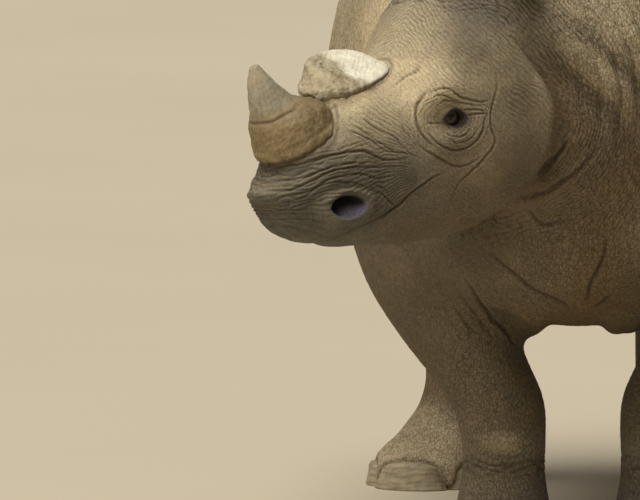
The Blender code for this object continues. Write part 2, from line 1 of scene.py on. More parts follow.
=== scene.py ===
"""The looks of a life-size museum model of a black rhinoceros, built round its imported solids.

Metres, +Z up. The animal faces -Y, its left side is +X, its soles are at z = 0, and its head is turned to
its right. "Head terms" are metres in the head's own frame: to its left, back from the muzzle's front,
and up.
"""

import math
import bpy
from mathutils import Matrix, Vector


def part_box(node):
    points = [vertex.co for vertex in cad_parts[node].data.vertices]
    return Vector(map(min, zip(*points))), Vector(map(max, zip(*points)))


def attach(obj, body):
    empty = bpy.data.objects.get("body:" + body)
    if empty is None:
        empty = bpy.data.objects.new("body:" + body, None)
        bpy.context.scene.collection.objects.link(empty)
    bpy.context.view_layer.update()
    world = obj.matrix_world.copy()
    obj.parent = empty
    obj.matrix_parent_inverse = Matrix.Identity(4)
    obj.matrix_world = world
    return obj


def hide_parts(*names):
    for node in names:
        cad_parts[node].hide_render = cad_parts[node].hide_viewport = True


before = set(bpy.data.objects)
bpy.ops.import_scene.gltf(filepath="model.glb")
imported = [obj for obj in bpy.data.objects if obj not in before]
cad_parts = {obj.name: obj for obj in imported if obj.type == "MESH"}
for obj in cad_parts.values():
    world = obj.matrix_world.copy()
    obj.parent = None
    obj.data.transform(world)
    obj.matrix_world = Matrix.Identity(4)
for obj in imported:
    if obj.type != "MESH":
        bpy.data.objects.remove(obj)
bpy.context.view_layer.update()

from concurrent.futures import ThreadPoolExecutor

import bmesh
import bpy
import numpy as np
from mathutils import Matrix, Vector
from mathutils.kdtree import KDTree

# ---------------------------------------------------------------- places, all in metres and degrees

SIDES = (("left", 1.0), ("right", -1.0))
HEAD_TURN = 48.0  # from straight ahead towards its right
HEAD_DIP = 10.4  # the mouth line falls this much towards the lips
HEAD_ROLL = 2.9
EYE_BACK = 0.349  # the eyes, behind the muzzle's front and above the mouth
EYE_UP = 0.164
EAR_ROOT = (0.108, 0.562, 0.338)  # the left ear's root, in head terms
EAR_TURN = (20, 6)  # it leans outwards, and backwards
EAR_TWIST = 35  # its edges are turned this much from left and right
FRONT_HORN = (0.100, 0.178, 17)  # its root's place back and up, and its tilt forwards
REAR_HORN = (0.247, 0.249, 9)
FRONT_HORN_HALF = (0.074, 0.094)  # its root's half width and length
REAR_HORN_HALF = (0.059, 0.086)
NOSTRIL = (0.117, 0.059)  # back and up
NOSTRIL_HALF = (0.0415, 0.0200)
NOSTRIL_TILT = -11
NOSTRIL_DEPTH = 0.036
NOSTRIL_RIM = 0.0050  # the rolled rim stands this much proud
WING_OUT = 0.076  # a ball of flesh under each nostril's wing, from the head's middle
WING_RADII = (0.014, 0.027, 0.017)
JAW = (0.402, 0.136, 0.148, 0.164)  # middle, back and up, and radii of the oval of the jaw muscle
EYE_SHIFT = (0.002, -0.004)  # the lids' opening, from the eyeball's middle
EYE_OPEN = (0.0192, 0.0148, 0.0130)  # its half width, and its height above and below
LID_SLANT = 0.10  # the opening rises this much towards the nose
LID_CURVE = 1.7  # the power of its almond outline
LID_THICK = 0.0022
LID_RIM = 0.0014  # the rim stands this much proud of the lid
GATHER = (0.315, 0.088)  # the spot under the eye where the snout's wrinkles meet

VOXEL = 0.0068  # the skin's first, even mesh
EAR_VOXEL = 0.0026
NAIL_VOXEL = 0.0026
HORN_VOXEL = 0.0019
EAR_SWELL = 0.003  # the ears are this much thicker until the mesh is fine enough for their walls

FLESH = ("head", "neck", "trunk", "tail", "foreleg_left", "foreleg_right", "hindleg_left", "hindleg_right")
EARS = ("ear_left", "ear_right")
FEET = ("fore_left", "fore_right", "hind_left", "hind_right")
TOES = ("middle", "inner", "outer")
NAILS = tuple("hoof_" + foot + "_" + toe for foot in FEET for toe in TOES)
KNEE_UP = {"fore": 0.273, "hind": 0.42}
KNEE_IN = 0.006  # the knee's pad is this much inwards from the middle nail
NAIL_WIDER = {True: 1.18, False: 1.05}  # for a foot's middle nail and for the others
ARMPITS = (-0.030, 0.143)  # places across of the loose skin that hangs before each foreleg

# How far the broader shapes stand out of the skin or sink into it
JAW_EDGE = 0.0030
JAW_STEP = 0.0210  # from the jaw's edge down to the neck
BOSS_HOLLOW = 0.0070  # in front, under the front horn
LIP_HOLLOW = 0.0045
LIP_POINT = 0.0140
HORN_BED = 0.015  # round the rear horn
NECK_ROLL = 0.0100
RIB_FURROW = 0.0020
RIB_GAP = 0.075
SLACK = 0.0040
TOE_BULGE = 0.009
TOE_GROOVE = 0.005
KNEE_PAD = 0.008
SAG_DROP = 0.020

# Fine creases: their depth, the gap between them (in radians where they fan out, and in jaw radii round
# the neck), and a power from 0 to 1 that is higher where the valleys are blunter
CREASES = {
    "snout": (0.0021, 0.060, 0.75),
    "nostril": (0.0021, 0.0080, 0.75),
    "lip": (0.0015, 0.085, 0.75),
    "eye": (0.0011, 0.0055, 0.80),
    "brow_slant": (0.0024, 0.0070, 0.75),
    "brow_cross": (0.0004, 0.011, 0.75),
    "neck_ring": (0.0017, 0.056, 0.85),
    "neck_cross": (0.0008, 0.10, 0.80),
    "throat": (0.0007, 0.022, 0.85),
    "flank_upright": (0.0010, 0.015, 0.85),
    "flank_level": (0.0006, 0.020, 0.80),
    "chest": (0.0009, 0.015, 0.85),
    "joint": (0.0034, 0.015, 0.75),
    "leg": (0.0006, 0.016, 0.85),
}

# Fold lines of the face: depth, width, then places back and up in head terms
FACE_LINES = (
    # under the front horn and over the nostril, running back towards the eye
    (0.0040, 0.0030, (
        (0.031, 0.151), (0.071, 0.151), (0.121, 0.152), (0.153, 0.149), (0.178, 0.142), (0.218, 0.117),
        (0.274, 0.110)
    )),
    (0.0028, 0.0024, ((0.006, 0.131), (0.041, 0.128), (0.085, 0.133), (0.144, 0.130), (0.173, 0.118))),
    (0.0034, 0.0026, (
        (-0.002, 0.116), (0.014, 0.110), (0.031, 0.112), (0.053, 0.119), (0.102, 0.127),
        (0.173, 0.116), (0.256, 0.095)
    )),
    (0.0028, 0.0024, (
        (-0.004, 0.101), (0.033, 0.102), (0.077, 0.108), (0.101, 0.106), (0.134, 0.097), (0.164, 0.084)
    )),
    (0.0026, 0.0024, (
        (-0.002, 0.090), (0.036, 0.093), (0.053, 0.104), (0.078, 0.113), (0.117, 0.114),
        (0.159, 0.106), (0.192, 0.091), (0.224, 0.086)
    )),
    # fan at the upper lip
    (0.0016, 0.0022, ((0.004, 0.077), (0.019, 0.075), (0.036, 0.070))),
    (0.0016, 0.0022, ((0.006, 0.067), (0.018, 0.068), (0.047, 0.062))),
    (0.0016, 0.0022, ((0.012, 0.055), (0.022, 0.057), (0.037, 0.051))),
    (0.0014, 0.0022, ((0.018, 0.044), (0.034, 0.041))),
    # behind the nostril
    (0.0030, 0.0026, ((0.180, 0.072), (0.196, 0.062), (0.214, 0.043), (0.224, 0.030))),
    (0.0016, 0.0022, ((0.172, 0.088), (0.190, 0.079), (0.212, 0.060))),
    # round the eye: the pouch, the outer ring and the arcs under the brow
    (0.0036, 0.0026, (
        (0.302, 0.155), (0.302, 0.140), (0.308, 0.126), (0.327, 0.111), (0.348, 0.105), (0.367, 0.107),
        (0.383, 0.116), (0.395, 0.131), (0.402, 0.144), (0.414, 0.156)
    )),
    (0.0034, 0.0026, ((0.310, 0.219), (0.295, 0.199), (0.286, 0.168), (0.293, 0.137), (0.309, 0.113))),
    (0.0030, 0.0026, (
        (0.308, 0.214), (0.335, 0.217), (0.352, 0.210), (0.372, 0.192), (0.402, 0.177), (0.424, 0.176)
    )),
    (0.0022, 0.0022, (
        (0.308, 0.203), (0.320, 0.207), (0.337, 0.203), (0.362, 0.189), (0.392, 0.173), (0.413, 0.170)
    )),
    (0.0030, 0.0024, ((0.319, 0.188), (0.332, 0.195), (0.352, 0.191), (0.372, 0.179))),
    (0.0034, 0.0022, ((0.368, 0.172), (0.391, 0.166), (0.411, 0.157))),
    (0.0030, 0.0022, ((0.372, 0.161), (0.394, 0.158), (0.414, 0.152))),
    (0.0022, 0.0022, ((0.322, 0.152), (0.326, 0.139), (0.340, 0.130), (0.359, 0.129), (0.377, 0.137))),
    (0.0018, 0.0022, ((0.318, 0.140), (0.334, 0.122), (0.355, 0.118), (0.373, 0.122), (0.386, 0.136))),
    (0.0022, 0.0022, ((0.300, 0.162), (0.330, 0.157))),
    (0.0032, 0.0028, (
        (0.277, 0.138), (0.292, 0.115), (0.315, 0.094), (0.334, 0.080), (0.359, 0.075), (0.389, 0.084)
    )),
    (0.0020, 0.0022, ((0.261, 0.172), (0.262, 0.159), (0.269, 0.150), (0.269, 0.140))),
    # from beside the rear horn down to under the eye
    (0.0026, 0.0026, (
        (0.169, 0.192), (0.185, 0.177), (0.209, 0.152), (0.234, 0.130), (0.261, 0.118), (0.281, 0.105)
    )),
    (0.0022, 0.0024, (
        (0.184, 0.211), (0.199, 0.190), (0.217, 0.172), (0.241, 0.153), (0.253, 0.134), (0.269, 0.113)
    )),
    (0.0024, 0.0024, ((0.154, 0.187), (0.171, 0.175), (0.195, 0.158), (0.213, 0.138), (0.236, 0.127))),
    (0.0018, 0.0024, ((0.274, 0.232), (0.305, 0.242), (0.330, 0.250), (0.347, 0.265))),
    # from behind the nostril up and back to under the eye
    (0.0042, 0.0028, (
        (0.196, 0.020), (0.207, 0.024), (0.235, 0.034), (0.254, 0.048), (0.274, 0.057), (0.295, 0.066),
        (0.318, 0.070)
    )),
    # the long line down the cheek
    (0.0030, 0.0028, (
        (0.449, 0.226), (0.440, 0.193), (0.423, 0.164), (0.411, 0.132), (0.414, 0.109), (0.402, 0.091),
        (0.362, 0.058), (0.342, 0.042), (0.327, 0.010)
    )),
)
LINE_DEPTH = 0.80  # scales every depth above
LINE_WIDTH = 0.72  # scales every width above
MOUTH_LINE = (
    (0.030, -0.012), (0.060, -0.006), (0.100, 0.003), (0.129, 0.013),
    (0.167, 0.017), (0.213, 0.028), (0.252, 0.046), (0.301, 0.062),
)
MOUTH_DEPTH = 0.0034
MOUTH_WIDTH = 0.0026

# Folds of the throat, chest and armpits, seen from the front, as places across and up in the world.
# A depth below 0 makes a ridge.
FRONT_LINES = (
    (0.0046, 0.0032, (
        (-0.1127, 0.645), (-0.0545, 0.601), (-0.0292, 0.576), (0.0186, 0.554), (0.038, 0.541)
    )),
    (0.0044, 0.0032, (
        (0.1028, 0.677), (0.098, 0.645), (0.0858, 0.617), (0.075, 0.587), (0.0716, 0.567),
        (0.064, 0.543)
    )),
    (0.0036, 0.0030, ((0.1115, 0.569), (0.094, 0.549), (0.0805, 0.539))),
    (0.0060, 0.0030, (
        (-0.150, 0.590), (-0.123, 0.546), (-0.1076, 0.524), (-0.093, 0.501), (-0.070, 0.480),
        (-0.052, 0.458)
    )),
    (0.0022, 0.0028, ((-0.160, 0.560), (-0.132, 0.520), (-0.112, 0.490), (-0.090, 0.462))),
    (0.0020, 0.0028, ((-0.170, 0.535), (-0.148, 0.500), (-0.125, 0.466))),
    (-0.0060, 0.0150, ((0.012, 1.050), (0.060, 1.000), (0.098, 0.960), (0.126, 0.930), (0.176, 0.855))),
    (0.0034, 0.0032, ((0.031, 0.862), (0.019, 0.831), (-0.001, 0.801), (-0.020, 0.781))),
    (0.0042, 0.0032, (
        (0.087, 0.839), (0.052, 0.799), (0.032, 0.779), (0.010, 0.761), (-0.014, 0.747),
        (-0.052, 0.748)
    )),
    (0.0032, 0.0030, ((-0.094, 0.743), (-0.059, 0.756))),
    (0.0032, 0.0030, ((-0.035, 0.722), (-0.021, 0.702), (-0.004, 0.696), (0.024, 0.702))),
)


# ---------------------------------------------------------------- numbers on points


def mix(low, high, share):
    return low + (high - low) * share


def ramp(values, start, end):
    """0 before start, 1 past end, and a soft slope between."""
    share = np.clip((values - start) / (end - start), 0, 1)
    return share * share * (3 - 2 * share)


def near(values, centre, reach):
    return np.exp(-(((values - centre) / reach) ** 2))


CHUNK = 16000  # points worked on at once
APART = 37.3  # cells between one seed's noise and the next's
PRIMES = (73856093, 19349663, 83492791)
PULLS = np.random.default_rng(7).normal(size=(3, 256))
PULLS = (PULLS / np.linalg.norm(PULLS, axis=0)).astype(np.float32)


def noise_of(cells):
    """Gradient noise of some points, given in lattice cells."""
    cells = cells.astype(np.float32).T
    floor = np.floor(cells)
    part = cells - floor
    ease = part**3 * (part * (part * 6 - 15) + 10)
    weights = (1 - ease, ease)
    lattice = floor.astype(np.int64)
    hashed = [[(lattice[axis] + step) * PRIMES[axis] for axis in range(3)] for step in (0, 1)]
    total = np.zeros(cells.shape[1], np.float32)
    for i, j, k in np.ndindex(2, 2, 2):  # the corners of each cell
        mixed = hashed[i][0] ^ hashed[j][1] ^ hashed[k][2]
        pick = (mixed ^ mixed >> 9) & 255
        pull = PULLS[0][pick] * (part[0] - i) + PULLS[1][pick] * (part[1] - j)
        pull += PULLS[2][pick] * (part[2] - k)
        total += weights[i][0] * weights[j][1] * weights[k][2] * pull
    return 1.6 * total


def noise(points, size, seed=0):
    """Smooth noise, roughly from -1 to 1, whose blobs are about this size across."""
    chunks = np.array_split(points, len(points) // CHUNK + 1)
    with ThreadPoolExecutor() as pool:
        parts = pool.map(lambda chunk: noise_of(chunk / size + APART * (seed + 1)), chunks)
        return np.concatenate(list(parts))


def layered(points, size, seed=0, layers=3):
    """Noise with finer noise on it."""
    return sum(noise(points, size / 2**i, seed + i) / 1.8**i for i in range(layers))


def folds(phase, sharp=0.6):
    """Rounded rolls, from 0 in the valley at each whole number up to 1 between them."""
    return np.abs(np.sin(math.pi * phase)) ** sharp


# ---------------------------------------------------------------- meshes as arrays


def arrays_of(obj):
    """An object's points in world space and its triangles."""
    data = obj.data
    data.calc_loop_triangles()
    points = np.empty(len(data.vertices) * 3, np.float32)
    data.vertices.foreach_get("co", points)
    faces = np.empty(len(data.loop_triangles) * 3, np.int32)
    data.loop_triangles.foreach_get("vertices", faces)
    world = np.array(obj.matrix_world)
    return points.reshape(-1, 3) @ world[:3, :3].T + world[:3, 3], faces.reshape(-1, 3).astype(np.int64)


def welded(points, faces, within=1e-5):
    """Points this close made one, and the triangles that collapse dropped."""
    grid = np.round(points / within).astype(np.int64)
    _, first, index = np.unique(grid, axis=0, return_index=True, return_inverse=True)
    faces = index.reshape(-1)[faces]
    whole = (faces[:, 0] != faces[:, 1]) & (faces[:, 1] != faces[:, 2]) & (faces[:, 2] != faces[:, 0])
    return points[first], faces[whole]


def object_of(name, points, faces):
    """A smooth-shaded object from arrays of points and of triangles."""
    data = bpy.data.meshes.new(name)
    data.vertices.add(len(points))
    data.vertices.foreach_set("co", np.asarray(points, np.float32).ravel())
    data.loops.add(faces.size)
    data.loops.foreach_set("vertex_index", faces.ravel().astype(np.int32))
    data.polygons.add(len(faces))
    data.polygons.foreach_set("loop_start", np.arange(0, faces.size, faces.shape[1], dtype=np.int32))
    data.update(calc_edges=True)
    data.shade_smooth()
    made = bpy.data.objects.new(name, data)
    bpy.context.scene.collection.objects.link(made)
    return made


def joined(parts):
    """Several (points, faces) as one."""
    points, faces, count = [], [], 0
    for one_points, one_faces in parts:
        points.append(one_points)
        faces.append(one_faces + count)
        count += len(one_points)
    return np.concatenate(points), np.concatenate(faces)


def sphere(fine):
    """A ball of radius 1."""
    mesh = bmesh.new()
    bmesh.ops.create_icosphere(mesh, subdivisions=fine, radius=1.0)
    points = np.array([vert.co for vert in mesh.verts])
    faces = np.array([[vert.index for vert in face.verts] for face in mesh.faces], np.int64)
    mesh.free()
    return points, faces


def worked(obj):
    """The arrays of an object with its modifiers worked in. The object itself goes."""
    bpy.context.view_layer.update()
    graph = bpy.context.evaluated_depsgraph_get()
    data = bpy.data.meshes.new_from_object(obj.evaluated_get(graph))
    bpy.data.objects.remove(obj)
    holder = bpy.data.objects.new("holder", data)
    points, faces = arrays_of(holder)
    bpy.data.objects.remove(holder)
    return points, faces


def remeshed(points, faces, size):
    """The surface of closed solids as one even mesh, in triangles."""
    obj = object_of("remesh", points, faces)
    modifier = obj.modifiers.new("one surface", "REMESH")
    modifier.mode = "VOXEL"
    modifier.voxel_size = size
    return worked(obj)


def smoothed(points, faces, *rounds):
    """The points smoothed in rounds, each with a weight from 0 to 1 for a point and a number of passes."""
    obj = object_of("smooth", points, faces)
    for number, (weights, passes) in enumerate(rounds):
        name = "round " + str(number)
        group = obj.vertex_groups.new(name=name)
        levels = np.round(np.broadcast_to(weights, len(points)) * 10).astype(int)
        for level in range(1, 11):
            group.add(np.flatnonzero(levels == level).tolist(), level / 10, "REPLACE")
        modifier = obj.modifiers.new(name, "SMOOTH")
        modifier.factor = 0.5
        modifier.iterations = passes
        modifier.vertex_group = name
    return worked(obj)[0]


def normals_of(points, faces):
    a, b, c = (points[faces[:, i]] for i in range(3))
    flat = np.cross(b - a, c - a)
    total = np.empty_like(points)
    for axis in range(3):
        total[:, axis] = np.bincount(faces.ravel(), np.repeat(flat[:, axis], 3), len(points))
    return total / np.maximum(np.linalg.norm(total, axis=1, keepdims=True), 1e-12)


def refined(points, faces, wanted):
    """The wanted triangles split in four, and those beside them as they need."""
    ends = np.sort(np.stack([faces, np.roll(faces, -1, axis=1)], axis=2), axis=2)
    keys, edge = np.unique((ends[:, :, 0] << 32 | ends[:, :, 1]).ravel(), return_inverse=True)
    edge = edge.reshape(-1, 3)
    split = np.zeros(len(keys), bool)
    split[edge[wanted].ravel()] = True
    middle = np.full(len(keys), -1)
    middle[split] = len(points) + np.arange(split.sum())
    points = np.concatenate([points, 0.5 * (points[keys[split] >> 32] + points[keys[split] & 0xFFFFFFFF])])
    mids = middle[edge]
    count = (mids >= 0).sum(axis=1)
    turn = np.where(count == 1, (mids >= 0).argmax(axis=1), ((mids < 0).argmax(axis=1) + 1) % 3)
    order = (np.arange(3) + turn[:, None]) % 3
    v, m = np.take_along_axis(faces, order, 1), np.take_along_axis(mids, order, 1)
    one, two, three = count == 1, count == 2, count == 3
    pieces = [faces[count == 0]]
    pieces += [np.stack(corners, axis=1) for corners in (
        (v[one, 0], m[one, 0], v[one, 2]),
        (m[one, 0], v[one, 1], v[one, 2]),
        (m[two, 0], v[two, 1], m[two, 1]),
        (v[two, 0], m[two, 0], m[two, 1]),
        (v[two, 0], m[two, 1], v[two, 2]),
        (v[three, 0], m[three, 0], m[three, 2]),
        (m[three, 0], v[three, 1], m[three, 1]),
        (m[three, 2], m[three, 1], v[three, 2]),
        (m[three, 0], m[three, 1], m[three, 2]),
    )]
    return points, np.concatenate(pieces)


def paint(obj, name, values):
    """Stores a number or a colour on each point, for the materials."""
    if values.ndim == 1:
        kind, field, rows = "FLOAT", "value", values.astype(np.float32)
    else:
        kind, field, rows = "FLOAT_COLOR", "color", np.ones((len(values), 4), np.float32)
        rows[:, :3] = values
    obj.data.attributes.new(name, kind, "POINT").data.foreach_set(field, rows.ravel())


# ---------------------------------------------------------------- the head's frame


def middle_of(node):
    low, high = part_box(node)
    return (Vector(low) + Vector(high)) / 2


def head_frame():
    """A matrix from head terms to the world, set so that the eyes' places agree with their solids."""
    turn = Matrix.Rotation(math.radians(-HEAD_TURN), 4, "Z")
    dip = Matrix.Rotation(math.radians(HEAD_DIP), 4, "X")
    roll = Matrix.Rotation(math.radians(-HEAD_ROLL), 4, "Y")
    axes = turn @ dip @ roll
    between = (middle_of("eye_left") + middle_of("eye_right")) / 2
    return Matrix.Translation(between - axes @ Vector((0, EYE_BACK, EYE_UP))) @ axes


HEAD = head_frame()


def in_terms(matrix, points):
    inverse = np.array(matrix.inverted())
    return points @ inverse[:3, :3].T + inverse[:3, 3]


def out_of_terms(matrix, points):
    matrix = np.array(matrix)
    return points @ matrix[:3, :3].T + matrix[:3, 3]


def to_head(points):
    return in_terms(HEAD, points)


def from_head(points):
    return out_of_terms(HEAD, points)


def horn_frame(place):
    """A matrix from a horn's own terms, with +Z up its axis, to the world."""
    back, up, tilt = place
    return HEAD @ Matrix.Translation((0, back, up)) @ Matrix.Rotation(math.radians(tilt), 4, "X")


def ear_frame(sign):
    """A matrix from an ear's own terms, with +Z towards its tip, to the world."""
    outwards, backwards = (math.radians(angle) for angle in EAR_TURN)
    lean = Matrix.Rotation(sign * outwards, 4, "Y") @ Matrix.Rotation(backwards, 4, "X")
    return HEAD @ Matrix.Translation((sign * EAR_ROOT[0], EAR_ROOT[1], EAR_ROOT[2])) @ lean


# ---------------------------------------------------------------- lines on the skin


def rounded(line, steps=5):
    """Points closely along a smooth curve through the given ones."""
    line = np.array(line, float)
    ends = np.concatenate([[2 * line[0] - line[1]], line, [2 * line[-1] - line[-2]]])
    t = np.linspace(0, 1, steps, endpoint=False)[:, None]
    found = []
    for a, b, c, d in zip(ends, ends[1:], ends[2:], ends[3:]):
        square, cube = 2 * a - 5 * b + 4 * c - d, 3 * b - a - 3 * c + d
        found.append(0.5 * (2 * b + (c - a) * t + square * t**2 + cube * t**3))
    return np.concatenate([*found, line[-1:]])


def distance_to(places, line):
    """How far each place is from a line, and how far along the line its nearest point is, from 0 to 1."""
    best = np.full(len(places), np.inf)
    share = np.zeros(len(places))
    for i, (start, end) in enumerate(zip(line, line[1:])):
        span = end - start
        along = np.clip((places - start) @ span / (span @ span), 0, 1)
        away = np.linalg.norm(places - start - along[:, None] * span, axis=1)
        closer = away < best
        best[closer] = away[closer]
        share[closer] = (i + along[closer]) / (len(line) - 1)
    return best, share


def press_line(height, places, allowed, line, depth, width, fade=0.25, roll=0.35):
    """Presses a fold line into the heights: a sharp valley between two soft rolls."""
    line = rounded(line)
    reach = 5 * width
    inside = (places > line.min(axis=0) - reach) & (places < line.max(axis=0) + reach)
    chosen = np.flatnonzero(inside.all(axis=1) & allowed)
    away, share = distance_to(places[chosen], line)
    ends = np.clip(np.minimum(share, 1 - share) / fade, 0, 1) ** 0.7
    valley = np.exp(-((away / width) ** 2))
    rolls = np.exp(-((away / width - 2.2) ** 2))
    height[chosen] += depth * ends * (roll * rolls - valley)


# ---------------------------------------------------------------- the skin's first surface


def plug_under(node, place, top=-0.004):
    """The foot of a horn, cut off below the skin, to fill its socket."""
    points, faces = welded(*arrays_of(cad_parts[node]))
    local = in_terms(horn_frame(place), points)
    local[:, 2] = np.minimum(local[:, 2], top)
    return out_of_terms(horn_frame(place), local), faces


def ball(centre, radii):
    """An ellipsoid in head terms."""
    points, faces = sphere(3)
    return from_head(points * radii + centre), faces


def thick_ear(name):
    """An ear with its walls made thicker, so that the first, coarse mesh keeps them whole."""
    points, faces = remeshed(*welded(*arrays_of(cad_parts[name])), EAR_VOXEL)
    points = smoothed(points, faces, (1.0, 4))
    return points + EAR_SWELL * normals_of(points, faces), faces


def ear_share(points):
    """1 on the ears' blades, 0 on the rest of the skin."""
    share = np.zeros(len(points))
    for _, sign in SIDES:
        x, y, z = in_terms(ear_frame(sign), points).T
        share = np.maximum(share, ramp(z, 0.015, 0.05) * (np.hypot(x, y) < 0.09) * (z < 0.30))
    return share


def tail_share(points):
    """1 on the hanging part of the tail."""
    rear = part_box("tail")[1][1]
    close = np.abs(points[:, 0] - middle_of("tail").x) < 0.08
    return ramp(points[:, 1], rear - 0.09, rear - 0.05) * close


def base_skin():
    """One surface over all the flesh, smooth, and finer on the head than on the body."""
    parts = [welded(*arrays_of(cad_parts[name])) for name in (*FLESH, *NAILS, "eye_left", "eye_right")]
    parts += [thick_ear(name) for name in EARS]
    parts += [plug_under("horn_front", FRONT_HORN), plug_under("horn_rear", REAR_HORN)]
    parts += [ball((sign * WING_OUT, *NOSTRIL), WING_RADII) for _, sign in SIDES]
    points, faces = remeshed(*joined(parts), VOXEL)
    side, back, up = to_head(points).T
    head = ramp(back, 0.66, 0.58) * ramp(up, -0.16, -0.10) * (np.abs(side) < 0.30)
    ears, tail = ear_share(points), tail_share(points)
    feet = ramp(points[:, 2], 0.16, 0.05)
    loose = (1 - head) * (1 - ears) * (1 - tail) * (1 - 0.9 * feet)
    firm = np.maximum(head * (1 - ears), np.maximum(0.6 * tail, 0.6 * feet))
    points = smoothed(points, faces, (loose, 70), (firm, 12), (ears, 3))
    fine = (head > 0.05) | (ears > 0)
    points, faces = refined(points, faces, fine[faces].any(axis=1))
    side, back, up = to_head(points).T
    fine = (back < 0.66) & (np.abs(side) < 0.30) & (up > -0.14)
    points = smoothed(points, faces, (fine, 4))
    return points - (EAR_SWELL * ear_share(points))[:, None] * normals_of(points, faces), faces


def refine_face(points, faces):
    """A finer mesh on the folds of the face and the chest, and finer again at the lids and the nostrils."""
    side, back, up = to_head(points).T
    face = (back < 0.47) & (np.abs(side) < 0.20) & (up > -0.09)
    face |= (np.abs(jaw_rim(back, up) - 1.10) < 0.14) & (back > 0.40) & (up < 0.27) & (up > -0.12)
    face |= (back < 0.62) & (up > 0.16) & (np.abs(side) < 0.22)
    chest = (normals_of(points, faces)[:, 1] < 0.15) & (points[:, 1] < -0.35) & (back > 0.50)
    chest &= np.abs(points[:, 2] - 0.65) < 0.50
    points, faces = refined(points, faces, (face | chest)[faces].all(axis=1))
    points = smoothed(points, faces, (to_head(points)[:, 1] < 0.64, 2))
    side, back, up = to_head(points).T
    lids = np.hypot(back - EYE_BACK, up - EYE_UP) < 0.036
    nose = np.hypot((back - NOSTRIL[0]) / 1.5, up - NOSTRIL[1]) < 0.036
    closer = (lids | nose) & (np.abs(side) > 0.05)
    return refined(points, faces, closer[faces].all(axis=1))


def heel_of(foot):
    """A spot towards the rear of a foot, from which its toes spread."""
    spots = [middle_of("hoof_" + foot + "_" + toe) for toe in TOES]
    return Vector((spots[0].x, spots[1].y + 0.03, 0))


def nail_arrays(node):
    """A nail with a rounded top edge, lower towards its sides, and standing a little proud."""
    foot = node[5:node.rindex("_")]
    points, faces = remeshed(*welded(*arrays_of(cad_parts[node])), NAIL_VOXEL)
    middle, heel = middle_of(node), heel_of(foot)
    aim = (middle - heel).xy.normalized()
    across = (points[:, 0] - middle.x) * aim.y - (points[:, 1] - middle.y) * aim.x
    share = across / np.abs(across).max()
    points[:, 2] *= 1 - 0.42 * np.abs(share) ** 2.4
    wider = NAIL_WIDER["middle" in node]
    widened = np.outer((wider - 1) * across, (aim.y, -aim.x))
    points[:, :2] += widened - np.outer(3.6 * (wider**2 - 1) * across**2, aim)
    points = smoothed(points, faces, (1.0, 6))
    points[:, 2] -= points[:, 2].min()
    return points + 0.0022 * normals_of(points, faces), faces


# ---------------------------------------------------------------- creases and folds


def jaw_rim(back, up):
    """1 on the oval edge of the jaw muscle, less inside it, more outside."""
    return np.hypot((back - JAW[0]) / JAW[2], (up - JAW[1]) / JAW[3])


def creases(kind, along, waver):
    """Flat skin at 0, with a narrow valley at each gap along, moved by waver times the gap."""
    depth, gap, blunt = CREASES[kind]
    return depth * (np.abs(np.sin(math.pi * (along / gap + waver))) ** blunt - 1)


def press_face_lines(height, points, terms):
    side, back, up = terms.T
    wander = np.stack([layered(points, 0.05, 11, 2), layered(points, 0.05, 21, 2)], axis=1)
    places = np.stack([back, up], axis=1) + 0.0016 * wander
    on_flank = np.abs(side) > 0.010
    for depth, width, line in FACE_LINES:
        press_line(height, places, on_flank, line, LINE_DEPTH * depth, LINE_WIDTH * width, 0.25, 0.25)


def snout_creases(points, terms):
    """Wrinkles that gather towards a spot under the eye, rows over the nostril, and a fan at the lip."""
    side, back, up = terms.T
    away = np.hypot(back - GATHER[0], up - GATHER[1])
    bearing = np.arctan2(up - GATHER[1], GATHER[0] - back)
    zone = ramp(away, 0.025, 0.06) * ramp(away, 0.20, 0.12) * ramp(np.abs(side), 0.03, 0.06)
    zone *= ramp(bearing, -0.75, -0.35) * ramp(bearing, 1.35, 1.0)
    height = zone * creases("snout", bearing, 0.9 * layered(points, 0.035, 3, 2))
    muzzle = ramp(back, 0.24, 0.13) * ramp(up, 0.062, 0.085) * ramp(up, 0.172, 0.155)
    height += muzzle * creases("nostril", up, 1.1 * layered(points * (1, 1, 1.6), 0.05, 8, 2))
    lip = ramp(back, 0.13, 0.05) * ramp(up, 0.095, 0.080) * ramp(up, -0.03, 0.0)
    fan = np.arctan2(up - 0.085, back + 0.05)
    return height + lip * creases("lip", fan, 0.7 * noise(points, 0.03, 6))


def eye_creases(points, terms):
    """Rings round the eye."""
    side, back, up = terms.T
    around = np.hypot((back - EYE_BACK) / 1.2, up - (EYE_UP - 0.004))
    zone = ramp(around, 0.020, 0.026) * ramp(around, 0.072, 0.050) * (np.abs(side) > 0.05)
    return zone * creases("eye", around, 0.8 * layered(points, 0.03, 9, 2))


def brow_creases(points, terms):
    """Fine lines that slant down and back over the forehead, the temple and the cheek."""
    side, back, up = terms.T
    high = ramp(up, 0.18, 0.24) * ramp(back, 0.27, 0.33)
    temple = ramp(back, 0.42, 0.47) * ramp(up, 0.06, 0.16)
    cheek = 0.55 * ramp(back, 0.22, 0.32) * ramp(up, -0.07, 0.02)
    zone = np.maximum(np.maximum(high, temple), cheek) * ramp(back, 0.72, 0.62)
    zone = zone * (0.70 + 0.45 * noise(points, 0.07, 12))
    slope = 0.535 * np.abs(side) + 0.594 * back + 0.60 * up
    slant = creases("brow_slant", slope, 0.8 * layered(points, 0.045, 13, 3))
    cross = creases("brow_cross", 0.60 * back - 0.79 * up, 1.1 * layered(points, 0.025, 14, 2))
    return zone * (slant + cross)


def face_creases(points):
    terms = to_head(points)
    height = np.zeros(len(points))
    press_face_lines(height, points, terms)
    height += snout_creases(points, terms) + eye_creases(points, terms) + brow_creases(points, terms)
    return height * ramp(terms[:, 1], 0.74, 0.64)


